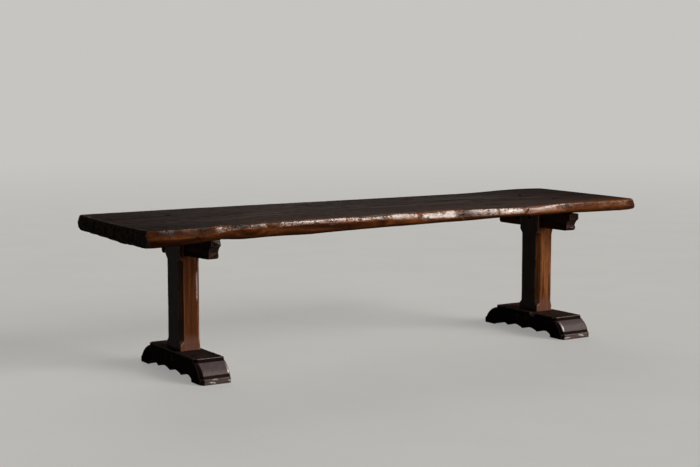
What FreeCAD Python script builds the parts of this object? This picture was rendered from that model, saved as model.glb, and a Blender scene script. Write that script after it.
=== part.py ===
import FreeCAD, Part
import os
import re
import Sketcher

# Refectory table: a live-edged plank top on two pegged trestles.
# X runs along the table, Y across it and away from the front edge, Z up.
# The origin is on the floor, under the middle of the top.

SIZES = (
    # The whole table
    ("table_height", 760, "floor to the upper face of the top"),
    ("trestle_spacing", 2204, "middle of one trestle to the middle of the other"),
    # The top
    ("slab_length", 3026, "over the furthest points of the two ends"),
    ("slab_width", 990, "across the furthest points of the two live edges"),
    ("slab_thickness", 78, "upper face to underside"),
    ("housing_depth", 8, "how deep the bolsters are let into the underside"),
    # The feet
    ("foot_length", 716, "across the table, over the plinths"),
    ("foot_height", 116, "floor to the upper face"),
    ("foot_width_left", 160, "along the table"),
    ("foot_width_right", 192, "along the table"),
    ("plinth_height", 30, "upright face at the bottom of each end"),
    ("plinth_ledge", 8, "how far the plinth stands out from the moulding"),
    ("foot_front_run", 74, "front plinth's face to the edge of the upper face"),
    ("foot_rear_run", 110, "rear plinth's face to the edge of the upper face"),
    ("foot_riser", 16, "upright face at the top of each end"),
    ("foot_quirk", 4, "ledge between the moulding and the riser"),
    ("arch_length", 520, "scalloped stretch of the underside"),
    ("cusp_height", 13, "floor to the points between the scallops"),
    ("scallop_height", 28, "floor to the crown of a scallop"),
    # The posts
    ("post_width", 108, "along the table"),
    ("post_depth", 164, "across the table"),
    ("post_chamfer_left", 22, "leg of the two chamfers on the left"),
    ("post_chamfer_right", 10, "leg of the two chamfers on the right"),
    ("foot_block_height", 28, "square stretch above the foot"),
    ("head_block_height", 106, "square stretch under the top"),
    ("chamfer_stop_run", 22, "height of the slope that ends a chamfer"),
    ("tenon_width", 56, "along the table"),
    ("tenon_depth", 120, "across the table"),
    ("tenon_length", 70, "below the shoulder"),
    ("mortise_floor_gap", 0.8, "end of the tenon to the floor of the mortise"),
    # The bolsters
    ("bolster_width_left", 54, "along the table"),
    ("bolster_width_right", 66, "along the table"),
    ("bolster_front_reach_left", 369, "trestle's middle to the front nose"),
    ("bolster_front_reach_right", 325, "trestle's middle to the front nose"),
    ("bolster_rear_reach_left", 212, "trestle's middle to the rear nose"),
    ("bolster_rear_reach_right", 322, "trestle's middle to the rear nose"),
    ("bolster_front_depth_left", 101, "depth behind the front nose"),
    ("bolster_front_depth_right", 98, "depth behind the front nose"),
    ("bolster_rear_depth_left", 121, "depth behind the rear nose"),
    ("bolster_rear_depth_right", 100, "depth behind the rear nose"),
    ("bolster_end_run", 44, "nose to the start of the underside"),
    # The pegs that pin the feet and the heads of the posts
    ("peg_diameter", 16, "bore of the foot's peg holes"),
    ("peg_drop", 34, "foot's upper face to the middle of its pegs"),
    ("peg_spread", 76, "between the two pegs of a foot"),
    ("head_peg_diameter", 16, "bore of the peg hole in the post's head"),
    ("head_peg_drop", 46, "bolster's upper face to the middle of its peg"),
    ("peg_proud", 2.5, "how far a peg stands out at each end"),
    # The wedged trenails that hold the top down
    ("trenail_diameter", 22, "bore of the trenail holes"),
    ("trenail_spread", 300, "between the two trenails of a bolster"),
    ("trenail_reach", 66, "depth of a trenail in its bolster"),
    ("trenail_floor_gap", 0.8, "end of a trenail to the floor of its hole"),
    ("wedge_thickness", 4, "thick end of a trenail's wedge"),
    ("wedge_tip", 0.8, "thin end of a trenail's wedge"),
    ("wedge_width", 15, "across the trenail"),
    ("wedge_length", 32, "from the upper face of the top down"),
    # Fits and cuts
    ("joint_fit", 0.2, "clearance on each side of a tenon or housing"),
    ("peg_fit", 0.1, "clearance all round a peg or a trenail"),
    ("overrun", 12, "how far a cut runs past the wood"),
)

SIDES = (("left", "-"), ("right", ""))
ENDS = (("front", "-"), ("rear", ""))
SCALLOPS = 4
PEG_SIDES = 8
SLAB_HEIGHTS = ("bottom", "lip", "ridge", "top")
CORNERS = (("", "", 45), ("-", "", 135), ("-", "-", -135), ("", "-", -45))

# End of a bolster, from the upper edge down: share of the end run in from the nose, share of
# the depth down, then the same pair for the middle of the curve that follows, if there is one.
BOLSTER_END_SHARES = (
    (0.16, 0.0, 0.04, 0.03),
    (0.0, 0.10),
    (0.0, 0.34, 0.43, 0.48),
    (0.68, 0.70),
    (0.58, 0.73, 0.62, 0.92),
    (1.0, 1.0),
)

# Middle of the foot's moulding: share of its run in from the ledge, share of its rise.
OVOLO_SHARES = (0.31, 0.54)

# Live edges of the top, from the left end to the right: share of the length, then shares of
# the width at the upper face, the ridge, the lip below it and the underside, with the shares
# of the thickness after the ridge's and the lip's. The first and last rows lie on the ends.
FRONT_EDGE_SHARES = (
    (-0.494, -0.480, -0.488, 0.48, -0.464, 0.20, -0.440),
    (-0.465, -0.492, -0.500, 0.44, -0.482, 0.16, -0.462),
    (-0.425, -0.481, -0.490, 0.44, -0.476, 0.14, -0.455),
    (-0.392, -0.459, -0.470, 0.50, -0.460, 0.16, -0.425),
    (-0.360, -0.441, -0.455, 0.64, -0.450, 0.16, -0.335),
    (-0.327, -0.469, -0.480, 0.75, -0.474, 0.17, -0.380),
    (-0.278, -0.436, -0.447, 0.72, -0.443, 0.13, -0.362),
    (-0.212, -0.433, -0.442, 0.78, -0.438, 0.12, -0.372),
    (-0.147, -0.435, -0.445, 0.75, -0.441, 0.18, -0.345),
    (-0.098, -0.439, -0.450, 0.74, -0.446, 0.22, -0.322),
    (-0.049, -0.398, -0.412, 0.66, -0.409, 0.18, -0.302),
    (0.016, -0.408, -0.425, 0.58, -0.422, 0.24, -0.292),
    (0.072, -0.392, -0.412, 0.52, -0.408, 0.24, -0.264),
    (0.147, -0.442, -0.460, 0.56, -0.456, 0.38, -0.262),
    (0.222, -0.458, -0.474, 0.62, -0.470, 0.39, -0.205),
    (0.262, -0.446, -0.462, 0.60, -0.458, 0.37, -0.225),
    (0.310, -0.420, -0.428, 0.58, -0.425, 0.34, -0.240),
    (0.366, -0.398, -0.405, 0.55, -0.402, 0.27, -0.212),
    (0.425, -0.393, -0.400, 0.58, -0.398, 0.25, -0.238),
    (0.474, -0.397, -0.405, 0.55, -0.402, 0.24, -0.243),
    (0.498, -0.367, -0.375, 0.50, -0.372, 0.28, -0.272),
)
BACK_EDGE_SHARES = (
    (-0.488, 0.395, 0.412, 0.50, 0.408, 0.20, 0.380),
    (-0.400, 0.405, 0.425, 0.55, 0.420, 0.18, 0.385),
    (-0.250, 0.412, 0.430, 0.50, 0.426, 0.22, 0.395),
    (-0.100, 0.405, 0.425, 0.55, 0.421, 0.20, 0.390),
    (0.080, 0.398, 0.420, 0.50, 0.415, 0.24, 0.385),
    (0.200, 0.398, 0.418, 0.55, 0.414, 0.22, 0.380),
    (0.300, 0.410, 0.432, 0.50, 0.427, 0.24, 0.392),
    (0.360, 0.448, 0.463, 0.55, 0.458, 0.26, 0.422),
    (0.405, 0.482, 0.493, 0.50, 0.488, 0.22, 0.454),
    (0.435, 0.492, 0.500, 0.50, 0.495, 0.22, 0.461),
    (0.465, 0.487, 0.4945, 0.50, 0.490, 0.24, 0.459),
    (0.496, 0.456, 0.468, 0.50, 0.464, 0.26, 0.430),
)

# Ends of the top: shares of the length at the front corner, the middle and the back corner.
LEFT_END_SHARES = {
    "top": (-0.495, -0.497, -0.488),
    "ridge": (-0.4965, -0.4997, -0.490),
    "lip": (-0.4955, -0.499, -0.4895),
    "bottom": (-0.4935, -0.4975, -0.4885),
}
RIGHT_END_SHARES = {
    "top": (0.495, 0.4965, 0.4965),
    "ridge": (0.498, 0.5001, 0.498),
    "lip": (0.498, 0.4985, 0.4965),
    "bottom": (0.496, 0.494, 0.493),
}

UNDERSIDE = "(table_height - slab_thickness)"
BOLSTER_TOP = "(table_height - slab_thickness + housing_depth)"

doc = FreeCAD.newDocument("refectory_table")
sheet = doc.addObject("Spreadsheet::Sheet", "Sizes")
for row, (alias, number, note) in enumerate(SIZES, start=1):
    sheet.set("A%d" % row, alias)
    sheet.set("B%d" % row, str(number))
    sheet.set("C%d" % row, note)
    sheet.setAlias("B%d" % row, alias)
doc.recompute()

ALIASES = {alias for alias, number, note in SIZES}


def bound(formula):
    """The formula with each size's name pointing at its cell."""
    return re.sub(r"[a-z_]+", lambda word: "Sizes." + word[0] if word[0] in ALIASES else word[0], formula)


def length(formula):
    """The formula's present value."""
    return float(sheet.evalExpression(bound(formula)))


def bind(item, **formulas):
    """Tie properties to formulas; a double underscore in a name stands for a dot."""
    for name, formula in formulas.items():
        item.setExpression(name.replace("__", "."), bound(formula))


def start_sketch(body, name, role, **offset):
    """An empty sketch on one of the body's origin planes, moved by the offset's formulas."""
    sketch = body.newObject("Sketcher::SketchObject", body.Name + "_" + name)
    plane = next(item for item in body.Origin.OriginFeatures if item.Role == role)
    sketch.AttachmentSupport = (plane, [""])
    sketch.MapMode = "FlatFace"
    bind(sketch, **{"AttachmentOffset__Base__" + axis: formula for axis, formula in offset.items()})
    return sketch


def pin(sketch, geometry, end, name, across, up):
    """Hold one point of the sketch at a pair of formulas."""
    for kind, formula in (("DistanceX", across), ("DistanceY", up)):
        number = sketch.addConstraint(Sketcher.Constraint(kind, geometry, end, length(formula)))
        sketch.renameConstraint(number, name + kind)
        bind(sketch, **{"Constraints__" + name + kind: formula})


def point(across, up):
    return FreeCAD.Vector(length(across), length(up), 0)


def draw_outline(sketch, corners):
    """Close an outline through the corners, each a pair of formulas.

    A corner with two more formulas starts an arc through that second point."""
    ends = []
    for index, corner in enumerate(corners):
        following = corners[(index + 1) % len(corners)]
        here, there = point(*corner[:2]), point(*following[:2])
        if len(corner) == 2:
            sketch.addGeometry(Part.LineSegment(here, there), False)
            ends.append((1, 2))
        else:
            sketch.addGeometry(Part.Arc(here, point(*corner[2:]), there), False)
            first, last = sketch.getPoint(index, 1), sketch.getPoint(index, 2)
            forward = first.distanceToPoint(here) < last.distanceToPoint(here)
            ends.append((1, 2) if forward else (2, 1))
    for index, corner in enumerate(corners):
        following = (index + 1) % len(corners)
        joined = (index, ends[index][1], following, ends[following][0])
        sketch.addConstraint(Sketcher.Constraint("Coincident", *joined))
        pin(sketch, index, ends[index][0], "Corner%d" % index, *corner[:2])
    for index, corner in enumerate(corners):
        if len(corner) == 4:
            middle = sketch.addGeometry(Part.Point(point(*corner[2:])), True)
            pin(sketch, middle, 1, "Middle%d" % index, *corner[2:])
            sketch.addConstraint(Sketcher.Constraint("PointOnObject", middle, 1, index))


def draw_rectangle(sketch, across, up):
    """A rectangle round the sketch's origin."""
    half_across, half_up = "(%s) / 2" % across, "(%s) / 2" % up
    signs = (("-", "-"), ("", "-"), ("", ""), ("-", ""))
    draw_outline(sketch, [(one + half_across, two + half_up) for one, two in signs])


def draw_circles(sketch, diameter, centres):
    for index, centre in enumerate(centres):
        circle = Part.Circle(point(*centre), FreeCAD.Vector(0, 0, 1), length(diameter) / 2)
        sketch.addGeometry(circle, False)
        pin(sketch, index, 3, "Centre%d" % index, *centre)
        number = sketch.addConstraint(Sketcher.Constraint("Diameter", index, length(diameter)))
        sketch.renameConstraint(number, "Bore%d" % index)
        bind(sketch, **{"Constraints__Bore%d" % index: diameter})


def raise_sketch(body, sketch, kind, reach, side="Symmetric", turned=False):
    """Pad or pocket a sketch, and make sure that it changed the body as it should."""
    doc.recompute()
    before = body.Shape.Volume if body.Tip else 0.0
    feature = body.newObject("PartDesign::" + kind, sketch.Name + "_" + kind.lower())
    feature.Profile = sketch
    feature.SideType = side
    feature.Reversed = turned
    bind(feature, Length=reach)
    doc.recompute()
    change = body.Shape.Volume - before
    if (change <= 0) == (kind == "Pad"):
        raise RuntimeError("%s changed the volume by %g" % (feature.Name, change))


def start_body(name, sign):
    """A body named after its piece, standing in the middle of its trestle."""
    body = doc.addObject("PartDesign::Body", name)
    bind(body, Placement__Base__x=sign + "trestle_spacing / 2")
    return body


def end_outline(sign, end_shares, reach, run, top, depth):
    """Corners of a bolster's end, from the upper edge to the underside."""
    corners = []
    for shares in end_shares:
        corner = []
        for inward, down in zip(shares[0::2], shares[1::2]):
            corner.append("%s(%s - %g * %s)" % (sign, reach, inward, run))
            corner.append("%s - %g * %s" % (top, down, depth))
        corners.append(tuple(corner))
    return corners


def turn_back(corners):
    """The same corners walked the other way, with each arc kept between its two corners."""
    turned = []
    for index in range(len(corners) - 1, -1, -1):
        middle = corners[index - 1][2:] if index > 0 else ()
        turned.append(corners[index][:2] + middle)
    return turned


def foot_end(sign, end_run):
    """Corners of a foot's end, from the floor up: plinth, ledge, ovolo, quirk and riser."""
    half = "foot_length / 2"
    rise = "(foot_height - foot_riser - plinth_height)"
    run = "(%s - foot_quirk - plinth_ledge)" % end_run
    over, up = OVOLO_SHARES
    corners = [
        (half, "0"),
        (half, "plinth_height"),
        (half + " - plinth_ledge", "plinth_height",
         "%s - plinth_ledge - %g * %s" % (half, over, run), "plinth_height + %g * %s" % (up, rise)),
        ("%s - %s + foot_quirk" % (half, end_run), "foot_height - foot_riser"),
        ("%s - %s" % (half, end_run), "foot_height - foot_riser"),
        ("%s - %s" % (half, end_run), "foot_height"),
    ]
    return [tuple("%s(%s)" % (sign, text) if place % 2 == 0 else text for place, text in enumerate(corner))
            for corner in corners]


def make_foot(side, sign):
    """A moulded foot with a scalloped underside, a blind mortise and two peg holes."""
    body = start_body(side + "_foot", sign)
    front, rear = (foot_end(sign_y, "foot_%s_run" % end) for end, sign_y in ENDS)
    arch = "arch_length / 2"
    under = [("-" + arch, "0")]
    for number in range(SCALLOPS):
        share, middle_share = number / SCALLOPS, (number + 0.5) / SCALLOPS
        under.append(("-%s + %g * arch_length" % (arch, share), "cusp_height",
                      "-%s + %g * arch_length" % (arch, middle_share), "scallop_height"))
    under += [(arch, "cusp_height"), (arch, "0")]
    sketch = start_sketch(body, "outline", "YZ_Plane")
    draw_outline(sketch, rear + turn_back(front) + under)
    raise_sketch(body, sketch, "Pad", "foot_width_" + side)

    sketch = start_sketch(body, "mortise", "XY_Plane", z="foot_height")
    draw_rectangle(sketch, "tenon_width + 2 * joint_fit", "tenon_depth + 2 * joint_fit")
    raise_sketch(body, sketch, "Pocket", "tenon_length + mortise_floor_gap", "One side")

    sketch = start_sketch(body, "peg_holes", "YZ_Plane")
    draw_circles(sketch, "peg_diameter", foot_peg_places())
    raise_sketch(body, sketch, "Pocket", "foot_width_%s + 2 * overrun" % side)
    return body


def foot_peg_places():
    return [(sign + "peg_spread / 2", "foot_height - peg_drop") for end, sign in ENDS]


def bolster_ends(side):
    """Corners of the bolster's two ends, each from the upper edge to the underside."""
    ends = []
    for end, sign in ENDS:
        reach = "bolster_%s_reach_%s" % (end, side)
        depth = "bolster_%s_depth_%s" % (end, side)
        ends.append(end_outline(sign, BOLSTER_END_SHARES, reach, "bolster_end_run", BOLSTER_TOP, depth))
    return ends


def make_post(side, sign):
    """A post with stopped chamfers, a tenon below and a fork for the bolster above."""
    body = start_body(side + "_post", sign)
    sketch = start_sketch(body, "section", "XY_Plane", z="foot_height")
    draw_rectangle(sketch, "post_width", "post_depth")
    raise_sketch(body, sketch, "Pad", UNDERSIDE + " - foot_height", "One side")

    sketch = start_sketch(body, "tenon", "XY_Plane", z="foot_height")
    draw_rectangle(sketch, "tenon_width", "tenon_depth")
    raise_sketch(body, sketch, "Pad", "tenon_length", "One side", turned=True)

    front, rear = bolster_ends(side)
    sketch = start_sketch(body, "fork", "YZ_Plane")
    clear = BOLSTER_TOP + " + overrun"
    draw_outline(sketch, [front[-1], rear[-1], (rear[-1][0], clear), (front[-1][0], clear)])
    raise_sketch(body, sketch, "Pocket", "bolster_width_%s + 2 * joint_fit" % side)

    low = "(foot_height + foot_block_height)"
    high = "(%s - head_block_height)" % UNDERSIDE
    for number, (x_sign, y_sign, turn) in enumerate(CORNERS):
        leg = "post_chamfer_left" if x_sign else "post_chamfer_right"
        inset = leg + " / sqrt(2)"
        sketch = start_sketch(body, "chamfer%d" % number, "XZ_Plane",
                              x=x_sign + "post_width / 2", z="-1 * (%spost_depth / 2)" % y_sign)
        sketch.AttachmentOffset.Rotation = FreeCAD.Rotation(FreeCAD.Vector(0, 1, 0), turn)
        draw_outline(sketch, [
            ("-" + inset, low + " + chamfer_stop_run"),
            (inset, low + " - chamfer_stop_run"),
            (inset, high + " + chamfer_stop_run"),
            ("-" + inset, high + " - chamfer_stop_run"),
        ])
        raise_sketch(body, sketch, "Pocket", "2 * " + leg)

    sketch = start_sketch(body, "peg_holes", "YZ_Plane")
    draw_circles(sketch, "peg_diameter", foot_peg_places())
    raise_sketch(body, sketch, "Pocket", "tenon_width + 2 * overrun")

    sketch = start_sketch(body, "head_peg_hole", "YZ_Plane")
    draw_circles(sketch, "head_peg_diameter", [("0", BOLSTER_TOP + " - head_peg_drop")])
    raise_sketch(body, sketch, "Pocket", "post_width + 2 * overrun")
    return body


def make_bolster(side, sign):
    """The cross bearer that lies in the post's fork and carries the top."""
    body = start_body(side + "_bolster", sign)
    front, rear = bolster_ends(side)
    sketch = start_sketch(body, "outline", "YZ_Plane")
    draw_outline(sketch, front + turn_back(rear))
    raise_sketch(body, sketch, "Pad", "bolster_width_" + side)

    sketch = start_sketch(body, "peg_hole", "YZ_Plane")
    draw_circles(sketch, "head_peg_diameter", [("0", BOLSTER_TOP + " - head_peg_drop")])
    raise_sketch(body, sketch, "Pocket", "bolster_width_%s + 2 * overrun" % side)

    sketch = start_sketch(body, "trenail_holes", "XY_Plane", z=BOLSTER_TOP)
    draw_circles(sketch, "trenail_diameter", [("0", sign_y + "trenail_spread / 2") for end, sign_y in ENDS])
    raise_sketch(body, sketch, "Pocket", "trenail_reach + trenail_floor_gap", "One side")
    return body


def make_peg(name, sign, bore, across, up, width):
    """An eight-sided riven peg that lies along the table and stands proud at both ends."""
    peg = doc.addObject("Part::Prism", name)
    peg.Polygon = PEG_SIDES
    peg.Placement.Rotation = FreeCAD.Rotation(FreeCAD.Vector(0, 1, 0), 90)
    bind(peg, Circumradius=bore + " / 2 - peg_fit", Height=width + " + 2 * peg_proud",
         Placement__Base__x="%strestle_spacing / 2 - %s / 2 - peg_proud" % (sign, width),
         Placement__Base__y=across, Placement__Base__z=up)
    return peg


def make_wedge(name, sign, sign_y, width):
    """A wedge with its thick end in the upper face of the top, driven across the grain."""
    wedge = doc.addObject("Part::Wedge", name)
    wedge.Placement.Rotation = FreeCAD.Rotation(FreeCAD.Vector(1, 0, 0), -90)
    bind(wedge, Xmin="-wedge_thickness / 2", Xmax="wedge_thickness / 2",
         X2min="-wedge_tip / 2", X2max="wedge_tip / 2", Ymin="0", Ymax="wedge_length",
         Zmin="-(%s) / 2" % width, Zmax="(%s) / 2" % width,
         Z2min="-(%s) / 2" % width, Z2max="(%s) / 2" % width,
         Placement__Base__x=sign + "trestle_spacing / 2",
         Placement__Base__y=sign_y + "trenail_spread / 2", Placement__Base__z="table_height")
    return wedge


def make_trenail(name, sign, sign_y):
    """A trenail through the top into a bolster, split at its upper end for the wedge."""
    stick = doc.addObject("Part::Prism", name + "_stick")
    stick.Polygon = PEG_SIDES
    bind(stick, Circumradius="trenail_diameter / 2 - peg_fit",
         Height="table_height - (%s - trenail_reach)" % BOLSTER_TOP,
         Placement__Base__x=sign + "trestle_spacing / 2",
         Placement__Base__y=sign_y + "trenail_spread / 2",
         Placement__Base__z=BOLSTER_TOP + " - trenail_reach")
    trenail = doc.addObject("Part::Cut", name)
    trenail.Base = stick
    trenail.Tool = make_wedge(name + "_kerf", sign, sign_y, "trenail_diameter + 2 * overrun")
    return trenail


def smooth_line(shares):
    """A smooth line through points of the top, given as shares of its length, width and thickness."""
    whole = length("slab_length"), length("slab_width"), length("slab_thickness")
    points = [FreeCAD.Vector(*(share * size for share, size in zip(place, whole))) for place in shares]
    line = Part.BSplineCurve()
    line.interpolate(points)
    return line.toShape()


def edge_shares(rows, height, left_share, right_share):
    """Points of a live edge at the upper face, the ridge, the lip or the underside."""
    shares = []
    for along, top, ridge, ridge_up, lip, lip_up, bottom in rows:
        levels = {"top": (top, 1), "ridge": (ridge, ridge_up), "lip": (lip, lip_up), "bottom": (bottom, 0)}
        shares.append((along,) + levels[height])
    shares[0] = (left_share,) + shares[0][1:]
    shares[-1] = (right_share,) + shares[-1][1:]
    return shares


def end_shares(front, middle_share, back):
    """Points of an end, bowed between its two corners."""
    return [front, (middle_share,) + tuple((one + two) / 2 for one, two in zip(front[1:], back[1:])), back]


def slab_outline(height):
    """The top's outline at one height: front edge, right end, back edge and left end."""
    left, right = LEFT_END_SHARES[height], RIGHT_END_SHARES[height]
    front = edge_shares(FRONT_EDGE_SHARES, height, left[0], right[0])
    back = edge_shares(BACK_EDGE_SHARES, height, left[2], right[2])
    lines = (front, end_shares(front[-1], right[1], back[-1]), back, end_shares(front[0], left[1], back[0]))
    return Part.Wire([smooth_line(shares) for shares in lines])


def make_slab():
    """The plank, let over both bolsters and bored for the trenails."""
    plank = doc.addObject("Part::Feature", "plank")
    plank.Shape = Part.makeLoft([slab_outline(height) for height in SLAB_HEIGHTS], True, True)
    bind(plank, Placement__Base__z=UNDERSIDE)
    cuts = []
    for side, sign in SIDES:
        housing = doc.addObject("Part::Box", side + "_housing")
        front, rear = ("bolster_%s_reach_%s" % (end, side) for end, sign_y in ENDS)
        bind(housing, Length="bolster_width_%s + 2 * joint_fit" % side,
             Width="%s + %s + 2 * joint_fit" % (front, rear), Height="housing_depth + overrun",
             Placement__Base__x="%strestle_spacing / 2 - bolster_width_%s / 2 - joint_fit" % (sign, side),
             Placement__Base__y="-%s - joint_fit" % front, Placement__Base__z=UNDERSIDE + " - overrun")
        cuts.append(housing)
        for end, sign_y in ENDS:
            hole = doc.addObject("Part::Cylinder", "%s_%s_trenail_hole" % (side, end))
            bind(hole, Radius="trenail_diameter / 2", Height="slab_thickness + 2 * overrun",
                 Placement__Base__x=sign + "trestle_spacing / 2",
                 Placement__Base__y=sign_y + "trenail_spread / 2",
                 Placement__Base__z=UNDERSIDE + " - overrun")
            cuts.append(hole)
    all_cuts = doc.addObject("Part::MultiFuse", "plank_cuts")
    all_cuts.Shapes = cuts
    slab = doc.addObject("Part::Cut", "top_slab")
    slab.Base = plank
    slab.Tool = all_cuts
    return slab


pieces = [make_slab()]
for side, sign in SIDES:
    pieces += [make_foot(side, sign), make_post(side, sign), make_bolster(side, sign)]
    pieces.append(make_peg(side + "_head_peg", sign, "head_peg_diameter",
                           "0", BOLSTER_TOP + " - head_peg_drop", "post_width"))
    for (end, sign_y), (across, up) in zip(ENDS, foot_peg_places()):
        pieces.append(make_peg("%s_%s_foot_peg" % (side, end), sign, "peg_diameter",
                               across, up, "foot_width_" + side))
        pieces.append(make_trenail("%s_%s_trenail" % (side, end), sign, sign_y))
        pieces.append(make_wedge("%s_%s_trenail_wedge" % (side, end), sign, sign_y, "wedge_width"))
doc.recompute()

for item in doc.Objects:
    if "Invalid" in item.State or "Error" in item.State:
        raise RuntimeError("%s failed: %s" % (item.Label, item.State))
for piece in pieces:
    if piece.Shape.isNull() or not piece.Shape.isValid() or len(piece.Shape.Solids) != 1:
        raise RuntimeError("%s is not one valid solid" % piece.Label)

os.makedirs("parts", exist_ok=True)
for piece in pieces:
    piece.Shape.exportStep("parts/%s.step" % piece.Label)
    print("%-28s %12.0f mm3" % (piece.Label, piece.Shape.Volume))
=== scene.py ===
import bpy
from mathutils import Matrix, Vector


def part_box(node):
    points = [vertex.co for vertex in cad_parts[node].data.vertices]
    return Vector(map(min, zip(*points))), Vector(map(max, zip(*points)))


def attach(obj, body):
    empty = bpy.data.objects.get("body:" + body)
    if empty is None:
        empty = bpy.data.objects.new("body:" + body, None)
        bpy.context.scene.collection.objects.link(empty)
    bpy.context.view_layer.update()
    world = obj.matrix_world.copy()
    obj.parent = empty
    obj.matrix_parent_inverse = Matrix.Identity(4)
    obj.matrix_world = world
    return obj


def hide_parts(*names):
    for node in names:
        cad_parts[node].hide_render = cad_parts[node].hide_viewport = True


bl_info = {
    "name": "Refectory Table",
    "version": (1, 0, 0),
    "blender": (4, 5, 0),
    "location": "View3D > Sidebar > Table",
    "description": "Dresses the packed frame of a long plank-topped trestle table",
    "category": "Add Mesh",
}

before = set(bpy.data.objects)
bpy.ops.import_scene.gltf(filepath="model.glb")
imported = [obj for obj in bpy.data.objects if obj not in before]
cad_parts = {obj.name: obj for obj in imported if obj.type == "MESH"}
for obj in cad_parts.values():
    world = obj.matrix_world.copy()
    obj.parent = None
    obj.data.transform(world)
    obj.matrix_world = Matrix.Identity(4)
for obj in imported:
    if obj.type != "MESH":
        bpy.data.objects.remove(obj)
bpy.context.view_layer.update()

import math
from functools import partial, reduce

import bmesh
import bpy
import numpy as np
from bpy.props import FloatProperty, FloatVectorProperty, IntProperty, PointerProperty
from mathutils import Vector
from mathutils.bvhtree import BVHTree

SIDES = ("left", "right")
ENDS = ("front", "rear")
PIECE_SEEDS = {"left_foot": 1.0, "right_foot": 2.0, "left_post": 3.0, "right_post": 4.0,
               "left_bolster": 5.0, "right_bolster": 6.0}

# Measures of the plank

PLANK_SEED = 20
PLANK_PITH = (0, 0.03, 0.55)
# Heights at which the outline of the frame's plank is read, how far inside its faces, and the looks per side
OUTLINE_LEVELS = 27
SKIN = 3e-4
LOOKS_ALONG, LOOKS_ACROSS = 800, 260
# Cuts on the plank's sides: their number, half lengths, half heights, and depths as shares of the set depth
LONG_CUTS = (260, (0.045, 0.13), (0.018, 0.036), (0.3, 1.0))
END_CUTS = (700, (0.012, 0.035), (0.02, 0.05), (0.4, 1.6))
# Breaks in the upper bevel of the plank's front edge: place along the table, depth, run of the slope that
# follows, and how far the break leans for each metre down
EDGE_BREAKS = ((-1.240, 0.003, 0.090, 0.6), (-0.868, 0.009, 0.080, 0.4), (-0.515, 0.004, 0.060, -0.4),
               (0.010, 0.004, 0.045, 0.8), (0.255, 0.006, 0.085, 0.9), (0.705, 0.008, 0.070, -1.5),
               (0.930, 0.004, 0.090, 0.6))
# Polish of the front edge's upper bevel: place along the table, share of the full polish, and the share of
# the bevel that it reaches down from the top
EDGE_POLISH = ((-1.46, 0.03, 0.4), (-1.43, 0.11, 0.4), (-1.38, 0.11, 0.4), (-1.35, 0.03, 0.3),
               (-1.30, 0.08, 0.3), (-1.24, 0.08, 0.3), (-1.15, 0.03, 0.5), (-1.10, 0.60, 0.5),
               (-0.99, 0.60, 0.5), (-0.95, 0.20, 0.5), (-0.88, 0.60, 0.6), (-0.86, 0.05, 0.3),
               (-0.81, 0.10, 0.3), (-0.78, 0.75, 0.3), (-0.71, 0.75, 0.4), (-0.68, 0.85, 0.6),
               (-0.60, 0.85, 0.6), (-0.57, 0.70, 0.4), (-0.53, 0.70, 0.4), (-0.50, 0.75, 0.65),
               (0.00, 0.80, 0.75), (0.01, 0.25, 0.6), (0.03, 0.30, 0.6), (0.05, 0.95, 1.0), (0.23, 1.00, 1.0),
               (0.26, 0.25, 0.8), (0.32, 0.25, 0.6), (0.36, 0.90, 0.6), (0.62, 1.00, 0.8), (0.66, 0.35, 0.5),
               (0.69, 0.35, 0.5), (0.72, 0.62, 0.5), (0.92, 0.72, 0.5), (1.00, 0.35, 0.6), (1.12, 0.08, 0.8),
               (1.48, 0.13, 0.9))
# Lobes of the hewn left end: shares of the way back from the front corner where one meets the next
END_LOBE_SHARES = (-0.10, 0.17, 0.40, 0.52, 0.71, 0.84, 1.12)
LOBE_DEPTH_SHARES = (0.6, 1.0, 0.45, 0.9, 0.7, 0.8)
# How much each corner of the plank is rounded in plan: front left, front right, back right, back left
CORNER_SHARES = (0.15, 0.22, 0.4, 0.15)
CORNER_REACH = 0.045
# Drying checks in the plank's top: share across from the front, first and last place along, depth, half width
TOP_CHECKS = ((0.12, 0.55, 1.30, 0.0025, 0.0024), (0.31, -1.50, -0.72, 0.0045, 0.0032),
              (0.47, 0.90, 1.52, 0.0045, 0.0030), (0.56, -0.46, 0.26, 0.002, 0.0022),
              (0.70, -1.52, -1.02, 0.004, 0.0028), (0.84, 0.30, 1.12, 0.0025, 0.0024))
# Knots in the plank's top: place along, place across, half length, half width
TOP_KNOTS = ((-0.87, -0.015, 0.045, 0.028), (0.62, -0.235, 0.060, 0.034), (1.05, 0.085, 0.085, 0.045),
             (-0.28, 0.250, 0.050, 0.026))

# Measures of the trestles

# Flats rubbed or broken on the trestles: a spot, the way the flat looks, how far it reaches, and its shine,
# which is a painted highlight with a full coat
FLATS = {"right_foot": (((1.022, -0.090, 0.109), (-0.75, -0.20, 0.60), 0.024, 0.35),
                        ((1.135, -0.357, 0.016), (0.08, -0.90, 0.42), 0.015, 0.9),
                        ((1.040, -0.355, 0.012), (-0.05, -0.90, 0.42), 0.013, 0.6)),
         "left_foot": (((-1.126, -0.357, 0.010), (0.08, -0.90, 0.42), 0.013, 0.75),
                       ((-1.108, -0.356, 0.024), (0.05, -0.85, 0.52), 0.010, 0.35),
                       ((-1.030, -0.354, 0.014), (0.25, -0.86, 0.44), 0.011, 0.45)),
         "left_bolster": (((-1.086, -0.364, 0.672), (0.22, -0.86, 0.46), 0.024, 1.0),),
         "right_bolster": (((1.102, -0.3005, 0.607), (0.05, -0.90, 0.43), 0.012, 0.30),)}
# How distances from a flat's spot count along X, Y and Z, and the depth from which a flat's painted
# highlight is full
FLAT_SPREAD = (0.6, 1.0, 1.7)
FLAT_DEPTH = 0.001
# Worn upright corners of the feet's ends: how far in from the left and from the right they are cut, and how
# far back a cut goes for each metre in
FOOT_CORNERS = {"left_foot": (0.018, 0.009), "right_foot": (0.016, 0.005)}
LEFT_CUT_SLOPE, RIGHT_CUT_SLOPE = 1.2, 0.25
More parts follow.
